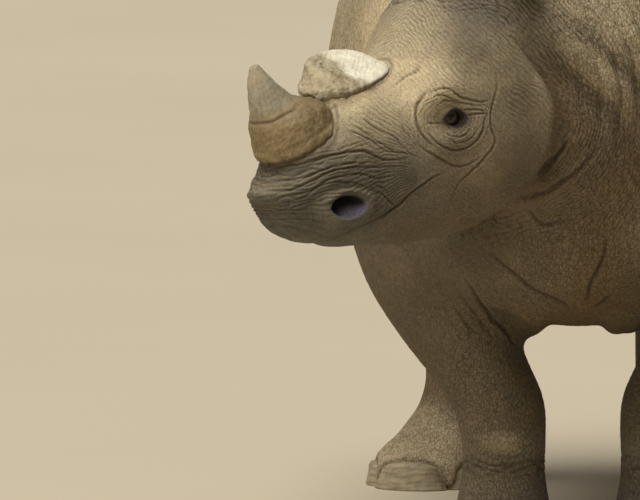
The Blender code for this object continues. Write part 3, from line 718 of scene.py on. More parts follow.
def neck_creases(points):
    """Creases round the neck that follow the jaw's edge, and short ones along the throat."""
    side, back, up = to_head(points).T
    low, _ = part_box("neck")
    rim = jaw_rim(back, up)
    zone = ramp(rim, 1.16, 1.26) * ramp(points[:, 1], low[1] + 0.80, low[1] + 0.35)
    zone *= ramp(points[:, 2], 0.60, 0.74) * (back > 0.42)
    rings = creases("neck_ring", rim - 1.12, layered(points, 0.06, 44, 3))
    bearing = np.arctan2(up - JAW[1], back - JAW[0])
    cross = creases("neck_cross", bearing, 1.1 * layered(points, 0.05, 45, 2))
    throat = ramp(up, 0.02, -0.06) * ramp(back, 0.30, 0.42) * ramp(back, 0.80, 0.62)
    return zone * (rings + cross) + throat * creases("throat", side, layered(points, 0.06, 47, 2))


def trunk_creases(points):
    """A net of creases over all the trunk, closer on the chest."""
    x, y, z = points.T
    low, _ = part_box("trunk")
    off_middle = np.abs(x - middle_of("tail").x)
    upright = creases("flank_upright", y + 0.10 * z, 1.1 * layered(points * (1, 1, 0.35), 0.07, 54, 3))
    level = creases("flank_level", z, 1.2 * layered(points * (0.5, 0.5, 1), 0.06, 55, 2))
    height = ramp(off_middle, 0.08, 0.25) * ramp(z, 0.38, 0.60) * (upright + level)
    chest = ramp(y, low[1] + 0.36, low[1] + 0.16) * ramp(z, 0.95, 0.80) * ramp(z, 0.44, 0.50)
    return height + chest * creases("chest", x + 0.15 * z, layered(points * (1, 1, 0.4), 0.08, 57, 3))


def press_front_lines(height, points, normals):
    """Presses the folds of the throat, the chest and the armpits in from the front."""
    low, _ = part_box("neck")
    facing = (normals[:, 1] < 0.1) & (points[:, 1] < low[1] + 0.50) & (to_head(points)[:, 1] > 0.5)
    wander = np.stack([layered(points, 0.08, 66, 2), layered(points, 0.08, 67, 2)], axis=1)
    places = points[:, [0, 2]] + 0.0035 * wander
    for depth, width, line in FRONT_LINES:
        press_line(height, places, facing, line, depth, width, 0.3, 0.3)


def leg_creases(points, foot):
    """Rings of wrinkles at a leg's joints, and a net of creases above them."""
    end, side = foot.split("_")
    low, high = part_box(end + "leg_" + side)
    z = points[:, 2]
    rings = creases("joint", z, 0.9 * layered(points * (1, 1, 2.0), 0.06, 71, 3))
    bend = near(z, KNEE_UP[end] - 0.045, 0.022) + 0.4 * near(z, 0.125, 0.030)
    middle = (low[0] + high[0]) / 2
    net = creases("leg", z + 0.6 * (points[:, 0] - middle), 0.9 * layered(points, 0.05, 74, 3))
    return bend * rings + ramp(z, 0.18, 0.34) * net


# ---------------------------------------------------------------- broader shapes


def face_shape(points):
    """The jaw's round rear edge over the neck, the hollow under the front horn, and the pointed lip."""
    side, back, up = to_head(points).T
    rim = jaw_rim(back, up) + 0.012 * layered(points, 0.07, 17, 2)
    behind = (back > 0.36) * ramp(up, 0.27, 0.17) * ramp(np.abs(side), 0.05, 0.09) * ramp(up, -0.13, -0.10)
    edge = JAW_EDGE * near(rim, 0.93, 0.06) - JAW_STEP * ramp(rim, 0.99, 1.06) * ramp(rim, 2.00, 1.15)
    front = ramp(back, 0.075, 0.035)
    hollow = BOSS_HOLLOW * near(up, 0.140, 0.016) + LIP_HOLLOW * near(up, 0.060, 0.022)
    point = LIP_POINT * near(up, 0.104, 0.010) * ramp(back, 0.030, 0.006) * near(side, 0, 0.040)
    x, y, z = in_terms(horn_frame(REAR_HORN), points).T
    beside = 0.35 * near(np.hypot((np.abs(x) - 0.050) / 0.034, (y + 0.045) / 0.045), 0, 1)
    before = near(np.hypot(x / 0.060, (y + 0.085) / 0.035), 0, 1)
    bed = np.maximum(beside, before) * ramp(np.abs(z), 0.06, 0.03)
    rough = 0.0010 * layered(points, 0.045, 31, 2)
    return behind * edge + point - front * hollow + HORN_BED * bed + rough


def body_shape(points):
    """Broad rolls of the neck, furrows along the ribs, and the slack of a thick hide."""
    x, y, z = points.T
    _, back, up = to_head(points).T
    rim = jaw_rim(back, up)
    low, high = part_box("trunk")
    neck = ramp(rim, 1.25, 1.50) * ramp(y, low[1] + 0.30, low[1] - 0.05) * ramp(up, 0.0, 0.12)
    rolls = folds((rim - 1.12) / 0.30 + 0.22 * layered(points, 0.14, 41, 2), 0.8) - 0.62
    ribs = ramp(y, low[1] + 0.62, low[1] + 0.80) * ramp(y, high[1] - 0.45, high[1] - 0.65)
    ribs = ribs * ramp(np.abs(x - middle_of("tail").x), 0.20, 0.34)
    ribs = ribs * ramp(z, 0.46, 0.60) * ramp(z, 1.22, 1.02)
    wander = 0.30 * layered(points * (1, 1, 0.5), 0.25, 51, 2)
    furrow = np.sin(2 * math.pi * ((y + 0.12 * z) / RIB_GAP + wander))
    slack = SLACK * layered(points, 0.30, 61, 2) + 0.0005 * layered(points, 0.035, 64, 2)
    return NECK_ROLL * neck * rolls + RIB_FURROW * ribs * furrow + slack * ramp(z, 0.10, 0.35)


def leg_shape(points, foot):
    """The pad over the knee, and a bulge over each toe with grooves between them."""
    end, side = foot.split("_")
    x, y, z = points.T
    spots = {toe: middle_of("hoof_" + foot + "_" + toe) for toe in TOES}
    heel = heel_of(foot)
    turn = np.arctan2(x - heel.x, -(y - heel.y))
    bulge = np.zeros(len(points))
    for spot in spots.values():
        away = (turn - math.atan2(spot.x - heel.x, -(spot.y - heel.y)) + math.pi) % (2 * math.pi) - math.pi
        bulge = np.maximum(bulge, near(away, 0, 0.42))
    toes = ramp(z, 0.040, 0.070) * ramp(z, 0.140, 0.095) * (TOE_BULGE * bulge - TOE_GROOVE)
    inner = spots["middle"].x + (-KNEE_IN if side == "left" else KNEE_IN)
    pad = near(np.hypot((z - KNEE_UP[end]) / 0.026, (x - inner) / 0.040), 0, 1)
    return toes + KNEE_PAD * pad * ramp(y, heel.y + 0.02, heel.y - 0.04)


def sag(points):
    """How far the loose skin before each armpit hangs down."""
    x, y, z = points.T
    hang = sum(near(((x - place) / 0.032) ** 2, 0, 1) for place in ARMPITS)
    return SAG_DROP * hang * near(((y + 0.60) / 0.16) ** 2, 0, 1) * near(z, 0.49, 0.050)


def nail_distance(points):
    """How far each low point is from the nearest nail. Points higher up get a large number."""
    spots = np.concatenate([nail_arrays(name)[0] for name in NAILS])
    tree = KDTree(len(spots))
    for index, spot in enumerate(spots):
        tree.insert(spot, index)
    tree.balance()
    found = np.full(len(points), 1.0)
    for index in np.flatnonzero(points[:, 2] < 0.10):
        found[index] = tree.find(points[index])[2]
    return found


def shape_lids(terms):
    """The lids, as a rim of skin over the eyeball round an almond opening through which it shows."""
    low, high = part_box("eye_left")
    radius = (high[2] - low[2]) / 2
    centre = abs(to_head(np.array(middle_of("eye_left"))[None])[0, 0])
    side, back, up = terms.T
    flank = np.abs(side)
    across = (back - (EYE_BACK + EYE_SHIFT[0])) / EYE_OPEN[0]
    tall = up - (EYE_UP + EYE_SHIFT[1]) - LID_SLANT * (EYE_BACK - back)
    tall = tall / np.where(tall > 0, EYE_OPEN[1], EYE_OPEN[2])
    almond = (np.abs(across) ** LID_CURVE + np.abs(tall) ** LID_CURVE) ** (1 / LID_CURVE)
    from_eye = np.hypot(back - EYE_BACK, up - EYE_UP)
    ball_out = centre + np.sqrt(np.clip(radius**2 - from_eye**2, 0, None))
    lid_out = centre + np.sqrt(np.clip((radius + LID_THICK) ** 2 - from_eye**2, 0, None))
    zone = (flank > 0.06) & (from_eye < 0.05) & (back < 0.45)
    lid = np.maximum(flank, mix(flank, lid_out, ramp(from_eye, 0.034, 0.020)))
    lid = mix(lid, np.maximum(lid, lid_out) + LID_RIM, near(almond, 1.16, 0.16))
    shaped = np.where(almond < 1, mix(lid, ball_out - 0.006, ramp(almond, 1.0, 0.92)), lid)
    found = terms.copy()
    found[:, 0] = np.sign(side) * np.where(zone, shaped, flank)
    return found, np.where(zone, almond, 9.0)


def shape_nostrils(terms):
    """A slanting oval pit with a rolled rim, steep in front and above, its floor sloping out behind."""
    side, back, up = terms.T
    flank = np.abs(side)
    tilt = math.radians(NOSTRIL_TILT)
    along = (back - NOSTRIL[0]) * math.cos(tilt) + (up - NOSTRIL[1]) * math.sin(tilt)
    across = -(back - NOSTRIL[0]) * math.sin(tilt) + (up - NOSTRIL[1]) * math.cos(tilt)
    along, across = along / NOSTRIL_HALF[0], across / NOSTRIL_HALF[1]
    oval = np.hypot(along, across)
    zone = (flank > 0.045) & (oval < 3)
    slope = np.clip(0.5 - 0.30 * along + 0.45 * across, 0.12, 1)
    depth = NOSTRIL_DEPTH * slope * ramp(oval, 1.02, 0.62) + 0.004 * ramp(oval, 1.08, 0.9)
    rim = NOSTRIL_RIM * near(oval, 1.28, 0.22) - 0.0022 * near(oval, 1.80, 0.18)
    found = terms.copy()
    found[:, 0] = np.sign(side) * (flank + np.where(zone, rim - depth, 0))
    found[:, 2] += np.where(zone, 0.010 * ramp(oval, 0.9, 0.3) * slope, 0)
    return found, np.where(zone, oval, 9.0), across, along


def shape_mouth(terms):
    """The slit between the lips, with the upper lip over the lower."""
    side, back, up = terms.T
    flank = np.abs(side)
    line = rounded(MOUTH_LINE)
    chosen = np.flatnonzero((back < 0.33) & (up < 0.09) & (up > -0.06))
    away, share = distance_to(np.stack([back, up], axis=1)[chosen], line)
    slit = MOUTH_DEPTH * np.exp(-((away / MOUTH_WIDTH) ** 2)) * ramp(share, 1.0, 0.6)
    level = np.interp(back[chosen], line[:, 0], line[:, 1])
    below = ramp(level - up[chosen], 0.0, 0.006) * ramp(back[chosen], 0.24, 0.16)
    roll = 0.0018 * np.exp(-(((away - 0.008) / 0.005) ** 2)) * ramp(share, 1.0, 0.5)
    found = terms.copy()
    inwards = (slit + 0.003 * below - roll) * ramp(flank[chosen], 0.0, 0.04)
    found[chosen, 0] -= np.sign(side[chosen]) * inwards
    found[chosen, 2] += 0.003 * below * ramp(flank[chosen], 0.05, 0.02)
    # Where the slit's painted shade goes.
    slot = np.zeros(len(terms))
    slot[chosen] = np.exp(-((away / 0.0035) ** 2)) * ramp(share, 0.9, 0.5)
    return found, slot


def relief_of_skin(points, normals):
    """How deep the creases are, and how far the broader shapes rise, at every point of the skin."""
    deep, broad = np.zeros(len(points)), np.zeros(len(points))
    side, back, up = to_head(points).T
    head = np.flatnonzero((back < 0.76) & (np.abs(side) < 0.34) & (up > -0.14))
    deep[head] += face_creases(points[head])
    broad[head] += face_shape(points[head])
    off_head = ramp(back, 0.58, 0.68)
    rest = np.flatnonzero((off_head > 0) | (jaw_rim(back, up) > 1.14))
    deep[rest] += neck_creases(points[rest])
    rest = np.flatnonzero(off_head > 0)
    deep[rest] += off_head[rest] * trunk_creases(points[rest])
    broad[rest] += off_head[rest] * body_shape(points[rest])
    for foot in FEET:
        low, high = (np.array(corner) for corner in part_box(foot.replace("_", "leg_")))
        mine = np.flatnonzero(((points > low - 0.02) & (points < high + 0.02)).all(axis=1))
        fade = ramp(points[mine, 2], high[2] + 0.02, high[2] - 0.12)
        deep[mine] += fade * leg_creases(points[mine], foot)
        broad[mine] += fade * leg_shape(points[mine], foot)
    press_front_lines(deep, points, normals)
    return deep, broad


def skin_arrays():
    """The finished skin, with what its colours go by."""
    points, faces = refine_face(*base_skin())
    normals = normals_of(points, faces)
    ears = ear_share(points)
    nails = nail_distance(points)
    deep, broad = relief_of_skin(points, normals)
    bare = (1 - 0.8 * ears) * ramp(nails, 0.004, 0.016)
    cuticle = 0.0022 * near(nails, 0.012, 0.006) - 0.0038 * ramp(nails, 0.0060, 0.003)
    points = points + (bare * (deep + broad) + cuticle)[:, None] * normals
    points[:, 2] -= sag(points)
    terms, oval, across, along = shape_nostrils(to_head(points))
    terms, mouth = shape_mouth(terms)
    terms, almond = shape_lids(terms)
    points = from_head(terms)
    points[:, 2] = np.where(points[:, 2] < 0.004, 0, points[:, 2])
    marks = {"deep": bare * deep, "oval": oval, "across": across, "along": along, "almond": almond}
    return points, faces, marks | {"mouth": mouth, "nails": nails}


# ---------------------------------------------------------------- the skin's colours

GREY = np.array((0.265, 0.225, 0.150))
DUST = np.array((0.440, 0.372, 0.245))
OLIVE = np.array((0.112, 0.107, 0.083))
UMBER = np.array((0.215, 0.158, 0.090))
BROWN = np.array((0.200, 0.150, 0.087))
RUST = np.array((0.162, 0.106, 0.046))
EARTH = np.array((0.088, 0.073, 0.041))
BLACK = np.array((0.016, 0.013, 0.011))
LILAC_HIGHLIGHT = np.array((0.200, 0.185, 0.290))
SLATE = np.array((0.205, 0.185, 0.165))


def coloured(base, count, layers):
    """A colour for each of count points: the base, then each layer's colour, by its share at the point."""
    colours = np.tile(base, (count, 1))
    for colour, share in layers:
        colours = colours + (colour - colours) * np.clip(share, 0, 1)[:, None]
    return colours


def skin_colours(points, faces, marks):
    """Dust on what faces up, an olive snout, brown cheeks and chest, and dark lids; painted light on the
    upper flanks, a ridge of the neck and the brows, with warm bounce light painted into the chest's and
    lower legs' browns; a painted lilac highlight in each nostril; and painted shade in the creases, between
    the lips, deep in the nostrils, round the eyes, behind the jaw, under the front horn and where the horns
    and nails meet the skin.
    """
    side, back, up = to_head(points).T
    x, y, z = points.T
    rim = jaw_rim(back, up)
    off_middle = np.abs(x - middle_of("tail").x)
    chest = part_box("trunk")[0][1]
    level = normals_of(points, faces)[:, 2]
    cloud = layered(points, 0.16, 81, 3)
    patch = layered(points, 0.055, 84, 3)
    head = ramp(back, 0.72, 0.58)
    body = 1 - head
    on_side = np.abs(side) > 0.05

    bib = body * ramp(y, chest + 0.34, chest + 0.14) * ramp(z, 0.86, 0.74) * ramp(z, 0.44, 0.52)
    bib = bib * near(x, 0.03, 0.11)
    elbow = near(z, 0.53, 0.12) * ramp(off_middle, 0.15, 0.22) * (y < -0.2)
    snout = head * ramp(back, 0.36, 0.24) * ramp(up, 0.24, 0.19)
    # Painted shade under the front horn's boss.
    shade_under_horn = snout * near(up, 0.150, 0.016) * ramp(back, 0.20, 0.15)
    cheek = head * ramp(back, 0.24, 0.34) * ramp(up, 0.21, 0.06)
    low_jaw = head * ramp(up, 0.10, 0.0) * ramp(back, 0.15, 0.25)
    # Painted shade on the neck just behind the jaw's edge, which overhangs it.
    shade_behind_jaw = ramp(rim, 0.99, 1.06) * ramp(rim, 2.1, 1.3) * ramp(back, 0.40, 0.46)
    shade_behind_jaw = shade_behind_jaw * ramp(up, 0.30, 0.18) * ramp(z, 0.40, 0.60)
    # Painted light: the upper flanks, the top of the body and a fold ridge of the neck are lightened as if
    # lit, on top of the dust on what faces up.
    flank = ramp(off_middle, 0.20, 0.32) * ramp(z, 0.80, 0.98)
    lit_ridge = near(rim + 0.03 * cloud, 1.72, 0.10) * ramp(up, -0.02, 0.10)
    dust_and_light = ramp(level, 0.30, 0.92) * (0.70 + 0.35 * cloud) * (1 - 0.40 * head)
    dust_and_light += body * (ramp(z, 0.90, 1.06) + flank + 0.35 * lit_ridge)
    forehead = head * ramp(up, 0.20, 0.27) * ramp(back, 0.30, 0.38)
    # Each brow: dust with a painted highlight.
    brow_highlight = head * near(np.hypot((back - 0.335) / 1.5, up - 0.225), 0, 0.034) * on_side
    temple = head * near(np.hypot((back - 0.485) / 1.1, up - 0.255), 0, 0.035) * on_side
    above = head * near(np.hypot((back - 0.475) / 1.5, up - 0.335), 0, 0.050)
    # Painted shade along the creases, darker where they are deeper.
    valley = np.clip(-marks["deep"] / 0.0026, 0, 1) ** 1.3
    oval, along, across, almond = (marks[name] for name in ("oval", "along", "across", "almond"))
    # A painted lilac highlight on the lower floor of each nostril.
    lilac_highlight = ramp(across - 0.3 * along, 0.35, -0.35) * ramp(oval, 1.16, 0.95)
    # Painted shade deep in the upper part of each nostril.
    pit = ramp(oval, 1.04, 0.88) * ramp(across - 0.5 * along, -0.75, -0.10)

    layers = [
        (DUST, 0.22 * head * ramp(up, 0.18, 0.30)),
        (BROWN, body * ramp(z, 1.02, 0.80) * (0.80 + 0.3 * cloud)),
        # The lower legs' earthy browns are partly earth and dust on the hide and partly painted warm light
        # bounced up from the floor.
        (EARTH, ramp(z, 0.74, 0.54) * ramp(y, 0.2, 0.0) * (0.85 + 0.2 * cloud)),
        (UMBER * 0.60, ramp(z, 0.62, 0.42) * ramp(y, 0.0, 0.2) * (0.85 + 0.2 * cloud)),
        (GREY, 0.45 * near(z, KNEE_UP["fore"] - 0.02, 0.040) * (y < 0)),
        (DUST, 0.8 * ramp(z, 0.19, 0.08) * ramp(y, -0.1, 0.1)),
        (SLATE * 0.75, 0.55 * ramp(z, 0.30, 0.14) * ramp(y, 0.1, -0.1)),
    ]
    for name, sign in SIDES:
        knee = middle_of("hoof_fore_" + name + "_middle").x - sign * KNEE_IN
        pad = near(np.hypot((z - KNEE_UP["fore"]) / 0.022, (x - knee) / 0.036) ** 2, 0, 1) * (y < -0.5)
        layers.append((DUST, 0.60 * pad))
    layers += [
        # The chest's reddish brown is partly earth on the hide and partly painted warm bounce light.
        (RUST, bib * (0.85 + 0.3 * cloud)),
        (EARTH * 1.45, 0.85 * elbow),
        (OLIVE, snout * (0.85 + 0.25 * patch)),
        # Painted shade under the front horn's boss.
        (OLIVE * 0.6, 0.7 * shade_under_horn),
        (UMBER * (0.84, 0.88, 0.94), cheek * (0.80 + 0.25 * patch)),
        (UMBER * (0.72, 0.78, 0.85), 0.8 * low_jaw),
        # Painted shade behind the jaw's edge.
        (BROWN, 0.8 * shade_behind_jaw),
        # Dust on what faces up, and painted light on the top of the body, the upper flanks and the neck's
        # ridge.
        (DUST, 0.90 * dust_and_light),
        # Painted light on the upper flanks, brighter than the dust.
        (DUST * 1.60, 0.9 * flank * ramp(y, 0.0, -0.3)),
        (np.zeros(3), 0.20 * forehead),
        # Painted highlight on the brows, over their dust.
        (DUST * 1.3, 0.90 * brow_highlight),
        (DUST, 0.55 * temple),
        (SLATE, 0.75 * above),
        # Painted shade along the creases.
        (UMBER * 0.25, 0.70 * valley),
        # Painted lilac highlight in each nostril.
        (LILAC_HIGHLIGHT, 0.80 * lilac_highlight),
        # Painted shade deep in each nostril.
        (BLACK * 0.5, pit),
        # Painted shade in the slit between the lips.
        (UMBER * 0.35, 0.50 * marks["mouth"]),
        # Dark skin of the lids, with painted shade round the eye's opening and under the lids.
        (UMBER * 0.4, 0.6 * ramp(almond, 2.1, 1.3)),
        (BLACK, 0.90 * ramp(almond, 1.36, 1.10)),
        # Painted shade in the groove where the skin meets each nail.
        (UMBER * 0.3, 0.6 * near(marks["nails"], 0.005, 0.003)),
    ]
    # Painted shade on the skin where each horn stands out of it.
    for place, (wide, long) in ((FRONT_HORN, FRONT_HORN_HALF), (REAR_HORN, REAR_HORN_HALF)):
        across, along, out = in_terms(horn_frame(place), points).T
        root = near(np.hypot(across / wide, along / long), 1.0, 0.035) * (np.abs(out) < 0.03)
        layers.append((UMBER * 0.25, 0.5 * root))
    return coloured(GREY, len(points), layers)


# ---------------------------------------------------------------- materials


# Darkens the skin's cracks: painted shade in them.
CRACK_SHADE_TONE = (0.30, 0.25, 0.20)


class Nodes:
    """Short ways to make and link shader nodes."""

    def __init__(self, name):
        self.material = bpy.data.materials.new(name)
        self.material.use_nodes = True
        self.tree = self.material.node_tree
        self.shader = self.tree.nodes["Principled BSDF"]

    def add(self, kind, values=(), **settings):
        node = self.tree.nodes.new("ShaderNode" + kind)
        for key, value in settings.items():
            setattr(node, key, value)
        for key, value in dict(values).items():
            if isinstance(value, bpy.types.NodeSocket):
                self.tree.links.new(value, node.inputs[key])
            else:
                node.inputs[key].default_value = value
        return node

    def attribute(self, name):
        return self.add("Attribute", attribute_name=name)

    def coordinates(self, stretch=(1, 1, 1)):
        place = self.add("TexCoord").outputs["Object"]
        return self.add("Mapping", {"Vector": place, "Scale": stretch}).outputs["Vector"]

    def noise(self, scale, detail=4.0, rough=0.6, where=None, twist=0.0):
        values = {"Scale": scale, "Detail": detail, "Roughness": rough, "Distortion": twist}
        values["Vector"] = where or self.coordinates()
        return self.add("TexNoise", values).outputs["Fac"]

    def cells(self, scale, where):
        values = {"Vector": where, "Scale": scale}
        return self.add("TexVoronoi", values, feature="DISTANCE_TO_EDGE").outputs["Distance"]

    def spread(self, value, low, high, to_low=0.0, to_high=1.0):
        values = {"Value": value, "From Min": low, "From Max": high, "To Min": to_low, "To Max": to_high}
        return self.add("MapRange", values).outputs["Result"]

    def sum(self, one, other, kind="ADD"):
        return self.add("Math", {0: one, 1: other}, operation=kind).outputs["Value"]

    def mixed(self, share, one, other, kind="MIX"):
        node = self.add("Mix", {0: share}, data_type="RGBA", blend_type=kind)
        for key, value in ((6, one), (7, other)):
            if isinstance(value, bpy.types.NodeSocket):
                self.tree.links.new(value, node.inputs[key])
            else:
                node.inputs[key].default_value = (*value, 1.0)
        return node.outputs[2]

    def stained(self, colour, value, low, high, most, tone):
        """The colour times a tone where a value is high: not at all below low, and at most above high."""
        return self.mixed(self.spread(value, low, high, 0.0, most), colour, tone, "MULTIPLY")

    def bump(self, height, distance, strength=1.0, under=None):
        values = {"Height": height, "Distance": distance, "Strength": strength}
        if under:
            values["Normal"] = under
        return self.add("Bump", values).outputs["Normal"]

    def finish(self, colour, roughness, normal):
        self.tree.links.new(colour, self.shader.inputs["Base Color"])
        self.tree.links.new(roughness, self.shader.inputs["Roughness"])
        self.tree.links.new(normal, self.shader.inputs["Normal"])
        return self.material


def skin_material():
    """Thick dusty hide: cells parted by cracks, taller on the body, a wider net, and mottled dust, with
    painted shade darkening the cracks and the net.
    """
    n = Nodes("rhino_skin")
    body = n.attribute("body").outputs["Fac"]
    head = n.spread(body, 0.0, 1.0, 1.0, 0.0)
    place = n.coordinates()
    warp = n.add("TexNoise", {"Vector": place, "Scale": 60.0, "Detail": 3.0}).outputs["Color"]
    moved = n.add("VectorMath", {0: warp, 1: (0.009,) * 3, 2: place}, operation="MULTIPLY_ADD")
    warped = moved.outputs["Vector"]
    tall_place = n.add("Mapping", {"Vector": warped, "Scale": (1.0, 1.0, 0.5)}).outputs["Vector"]
    small = n.spread(n.cells(330.0, warped), 0.0, 0.20)
    tall = n.spread(n.cells(185.0, tall_place), 0.0, 0.14)
    net = n.spread(n.cells(72.0, warped), 0.0, 0.07, 1.0, 0.0)
    cells = n.sum(n.sum(small, head, "MULTIPLY"), n.sum(tall, body, "MULTIPLY"))

    colour = n.attribute("tint").outputs["Color"]
    for value, low, high, most, tone in (
        (n.noise(11.0, 6.0, 0.65), 0.42, 0.70, 0.60, (1.45, 1.42, 1.38)),
        (n.noise(3.2, 5.0), 0.44, 0.66, 0.55, (0.72, 0.68, 0.62)),
        (n.noise(170.0, 4.0, 0.7), 0.50, 0.75, 0.70, (1.60, 1.57, 1.53)),
        (n.noise(260.0, 3.0, 0.7), 0.48, 0.70, 0.60, (0.62, 0.60, 0.57)),
    ):
        colour = n.stained(colour, value, low, high, most, tone)
    cracks = n.sum(n.spread(cells, 0.0, 1.0, 1.0, 0.0), n.spread(body, 0.0, 1.0, 0.50, 0.62), "MULTIPLY")
    wide_crack_shade = n.sum(net, n.spread(body, 0.0, 1.0, 0.10, 0.40), "MULTIPLY")
    # Painted shade in the cracks and in the wider net.
    colour = n.mixed(cracks, colour, CRACK_SHADE_TONE, "MULTIPLY")
    colour = n.mixed(wide_crack_shade, colour, CRACK_SHADE_TONE, "MULTIPLY")

    rough = n.spread(n.noise(40.0), 0.3, 0.7, 0.70, 0.92)
    normal = n.bump(n.noise(420.0, 3.0, 0.6), 0.0006, 0.5)
    normal = n.bump(cells, 0.0008, 0.9, normal)
    normal = n.bump(n.spread(net, 0.0, 1.0, 1.0, 0.0), 0.0008, 0.6, normal)
    normal = n.bump(n.noise(60.0, 4.0, 0.6), 0.0016, 0.5, normal)
    n.shader.inputs["Specular IOR Level"].default_value = 0.30
    return n.finish(colour, rough, normal)


def horn_material():
    """Pressed fibres, blotched and pitted."""
    n = Nodes("rhino_horn")
    colour = n.attribute("tint").outputs["Color"]
    fibres = n.noise(1.0, 5.0, 0.65, n.attribute("grain").outputs["Vector"])
    pits = n.noise(150.0, 5.0, 0.7)
    blotch = n.noise(38.0, 5.0, 0.65)
    colour = n.stained(colour, fibres, 0.35, 0.65, 0.55, (0.66, 0.61, 0.54))
    colour = n.stained(colour, blotch, 0.48, 0.70, 0.60, (1.45, 1.45, 1.42))
    colour = n.stained(colour, pits, 0.58, 0.72, 0.75, (0.42, 0.34, 0.27))
    rough = n.spread(blotch, 0.3, 0.7, 0.55, 0.85)
    normal = n.bump(fibres, 0.0012, 0.8)
    normal = n.bump(pits, 0.0018, 0.7, normal)
    n.shader.inputs["Specular IOR Level"].default_value = 0.35
    return n.finish(colour, rough, normal)


def nail_material():
    n = Nodes("rhino_nail")
    grain = n.noise(26.0, 5.0, 0.6, n.coordinates((1, 1, 5)))
    spots = n.noise(90.0, 5.0, 0.7)
    colour = n.mixed(n.spread(grain, 0.35, 0.68), (0.21, 0.172, 0.108), (0.34, 0.285, 0.185))
    colour = n.mixed(n.spread(spots, 0.55, 0.72, 0.0, 0.6), colour, (0.09, 0.065, 0.04))
    rough = n.spread(spots, 0.3, 0.7, 0.5, 0.8)
    normal = n.bump(grain, 0.0012, 0.8)
    normal = n.bump(spots, 0.0008, 0.6, normal)
    return n.finish(colour, rough, normal)


def eye_material():
    n = Nodes("rhino_eye")
    base = n.attribute("tint").outputs["Color"]
    streaks = n.noise(240.0, 4.0, 0.7)
    colour = n.mixed(n.spread(streaks, 0.4, 0.7, 0.0, 0.3), base, (0.05, 0.028, 0.014))
    rough = n.spread(streaks, 0.0, 1.0, 0.05, 0.10)
    normal = n.bump(streaks, 0.0001, 0.1)
    n.shader.inputs["Specular IOR Level"].default_value = 0.12
    n.shader.inputs["Coat Weight"].default_value = 0.20
    n.shader.inputs["Coat Roughness"].default_value = 0.03
    return n.finish(colour, rough, normal)


def hair_material():
    n = Nodes("rhino_bristle")
    tone = n.noise(120.0, 3.0)
    colour = n.mixed(n.spread(tone, 0.3, 0.7), (0.012, 0.010, 0.008), (0.050, 0.038, 0.026))
    return n.finish(colour, n.spread(tone, 0.3, 0.7, 0.40, 0.60), n.bump(tone, 0.0001, 0.2))


def floor_material():
    n = Nodes("studio_floor")
    tone = n.noise(0.5, 3.0, 0.5)
    colour = n.mixed(n.spread(tone, 0.3, 0.7), (0.505, 0.446, 0.342), (0.518, 0.457, 0.350))
    return n.finish(colour, n.spread(tone, 0.3, 0.7, 0.80, 0.92), n.bump(n.noise(60.0), 0.002, 0.3))


# ---------------------------------------------------------------- pieces


def dressed(obj, material, slot, *nodes):
    """Gives a finished piece its material and its body, and hides the solids it stands for. The slot is not
    used.
    """
    obj.data.materials.append(material)
    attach(obj, "root")
    if nodes:
        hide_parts(*nodes)
    return obj


def make_skin(material):
    points, faces, marks = skin_arrays()
    skin = object_of("skin", points, faces)
    paint(skin, "tint", skin_colours(points, faces, marks))
    paint(skin, "body", ramp(to_head(points)[:, 1], 0.56, 0.64))
    return dressed(skin, material, "skin", *FLESH, *EARS)


EYE_WHITE = np.array((0.024, 0.018, 0.012))  # nearly as dark as the iris
IRIS = np.array((0.030, 0.022, 0.014))
IRIS_EDGE = np.array((0.012, 0.008, 0.006))
PUPIL = np.array((0.002, 0.002, 0.002))


def make_eye(side, sign, material):
    """An eyeball with a bulging cornea, a dark brown iris and an oval pupil."""
    low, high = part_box("eye_" + side)
    radius = (high[2] - low[2]) / 2 - 0.0002
    points, faces = sphere(6)
    gaze = np.array((sign * 0.97, -0.22, 0.02))
    gaze /= np.linalg.norm(gaze)
    angle = np.degrees(np.arccos(np.clip(points @ gaze, -1, 1)))
    flat = points - np.outer(points @ gaze, gaze)
    pupil = np.hypot(flat[:, 1] / 0.30, flat[:, 2] / 0.20)
    tint = coloured(EYE_WHITE, len(points), (
        (IRIS, ramp(angle, 36, 31)),
        (IRIS_EDGE, near(angle, 35, 3)),
        (PUPIL, ramp(pupil, 1.08, 0.92) * (angle < 40)),
    ))
    shaped = points * (radius + 0.0010 * ramp(angle, 44, 15))[:, None]
    centre = to_head(np.array(middle_of("eye_" + side))[None])[0]
    eye = object_of("eyeball_" + side, from_head(shaped + centre), faces)
    paint(eye, "tint", tint)
    return dressed(eye, material, "eye", "eye_" + side)


def make_horn(name, node, place, look, material):
    """A horn from its solid. look gives its warp, ledge, relief, grain and colours."""
    warp, ledge, relief_of, grain_of, colours_of = look
    matrix = horn_frame(place)
    points, faces = remeshed(*welded(*arrays_of(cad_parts[node])), HORN_VOXEL)
    local = in_terms(matrix, points)
    local = local + warp(local)
    local = smoothed(local, faces, (near(local[:, 2], ledge, 0.016), 70), (1.0, 5))
    local = local + relief_of(local)[:, None] * normals_of(local, faces)
    horn = object_of(name, out_of_terms(matrix, local), faces)
    paint(horn, "tint", colours_of(local, normals_of(local, faces)))
    data = horn.data.attributes.new("grain", "FLOAT_VECTOR", "POINT")
    data.data.foreach_set("vector", grain_of(local).astype(np.float32).ravel())
    return dressed(horn, material, "horn", node)


HORN_TAN = np.array((0.250, 0.186, 0.094))
HORN_RIM = np.array((0.430, 0.365, 0.240))
HORN_TIP = np.array((0.320, 0.296, 0.225))
HORN_WORN = np.array((0.700, 0.675, 0.560))
HORN_BROWN = np.array((0.120, 0.078, 0.040))


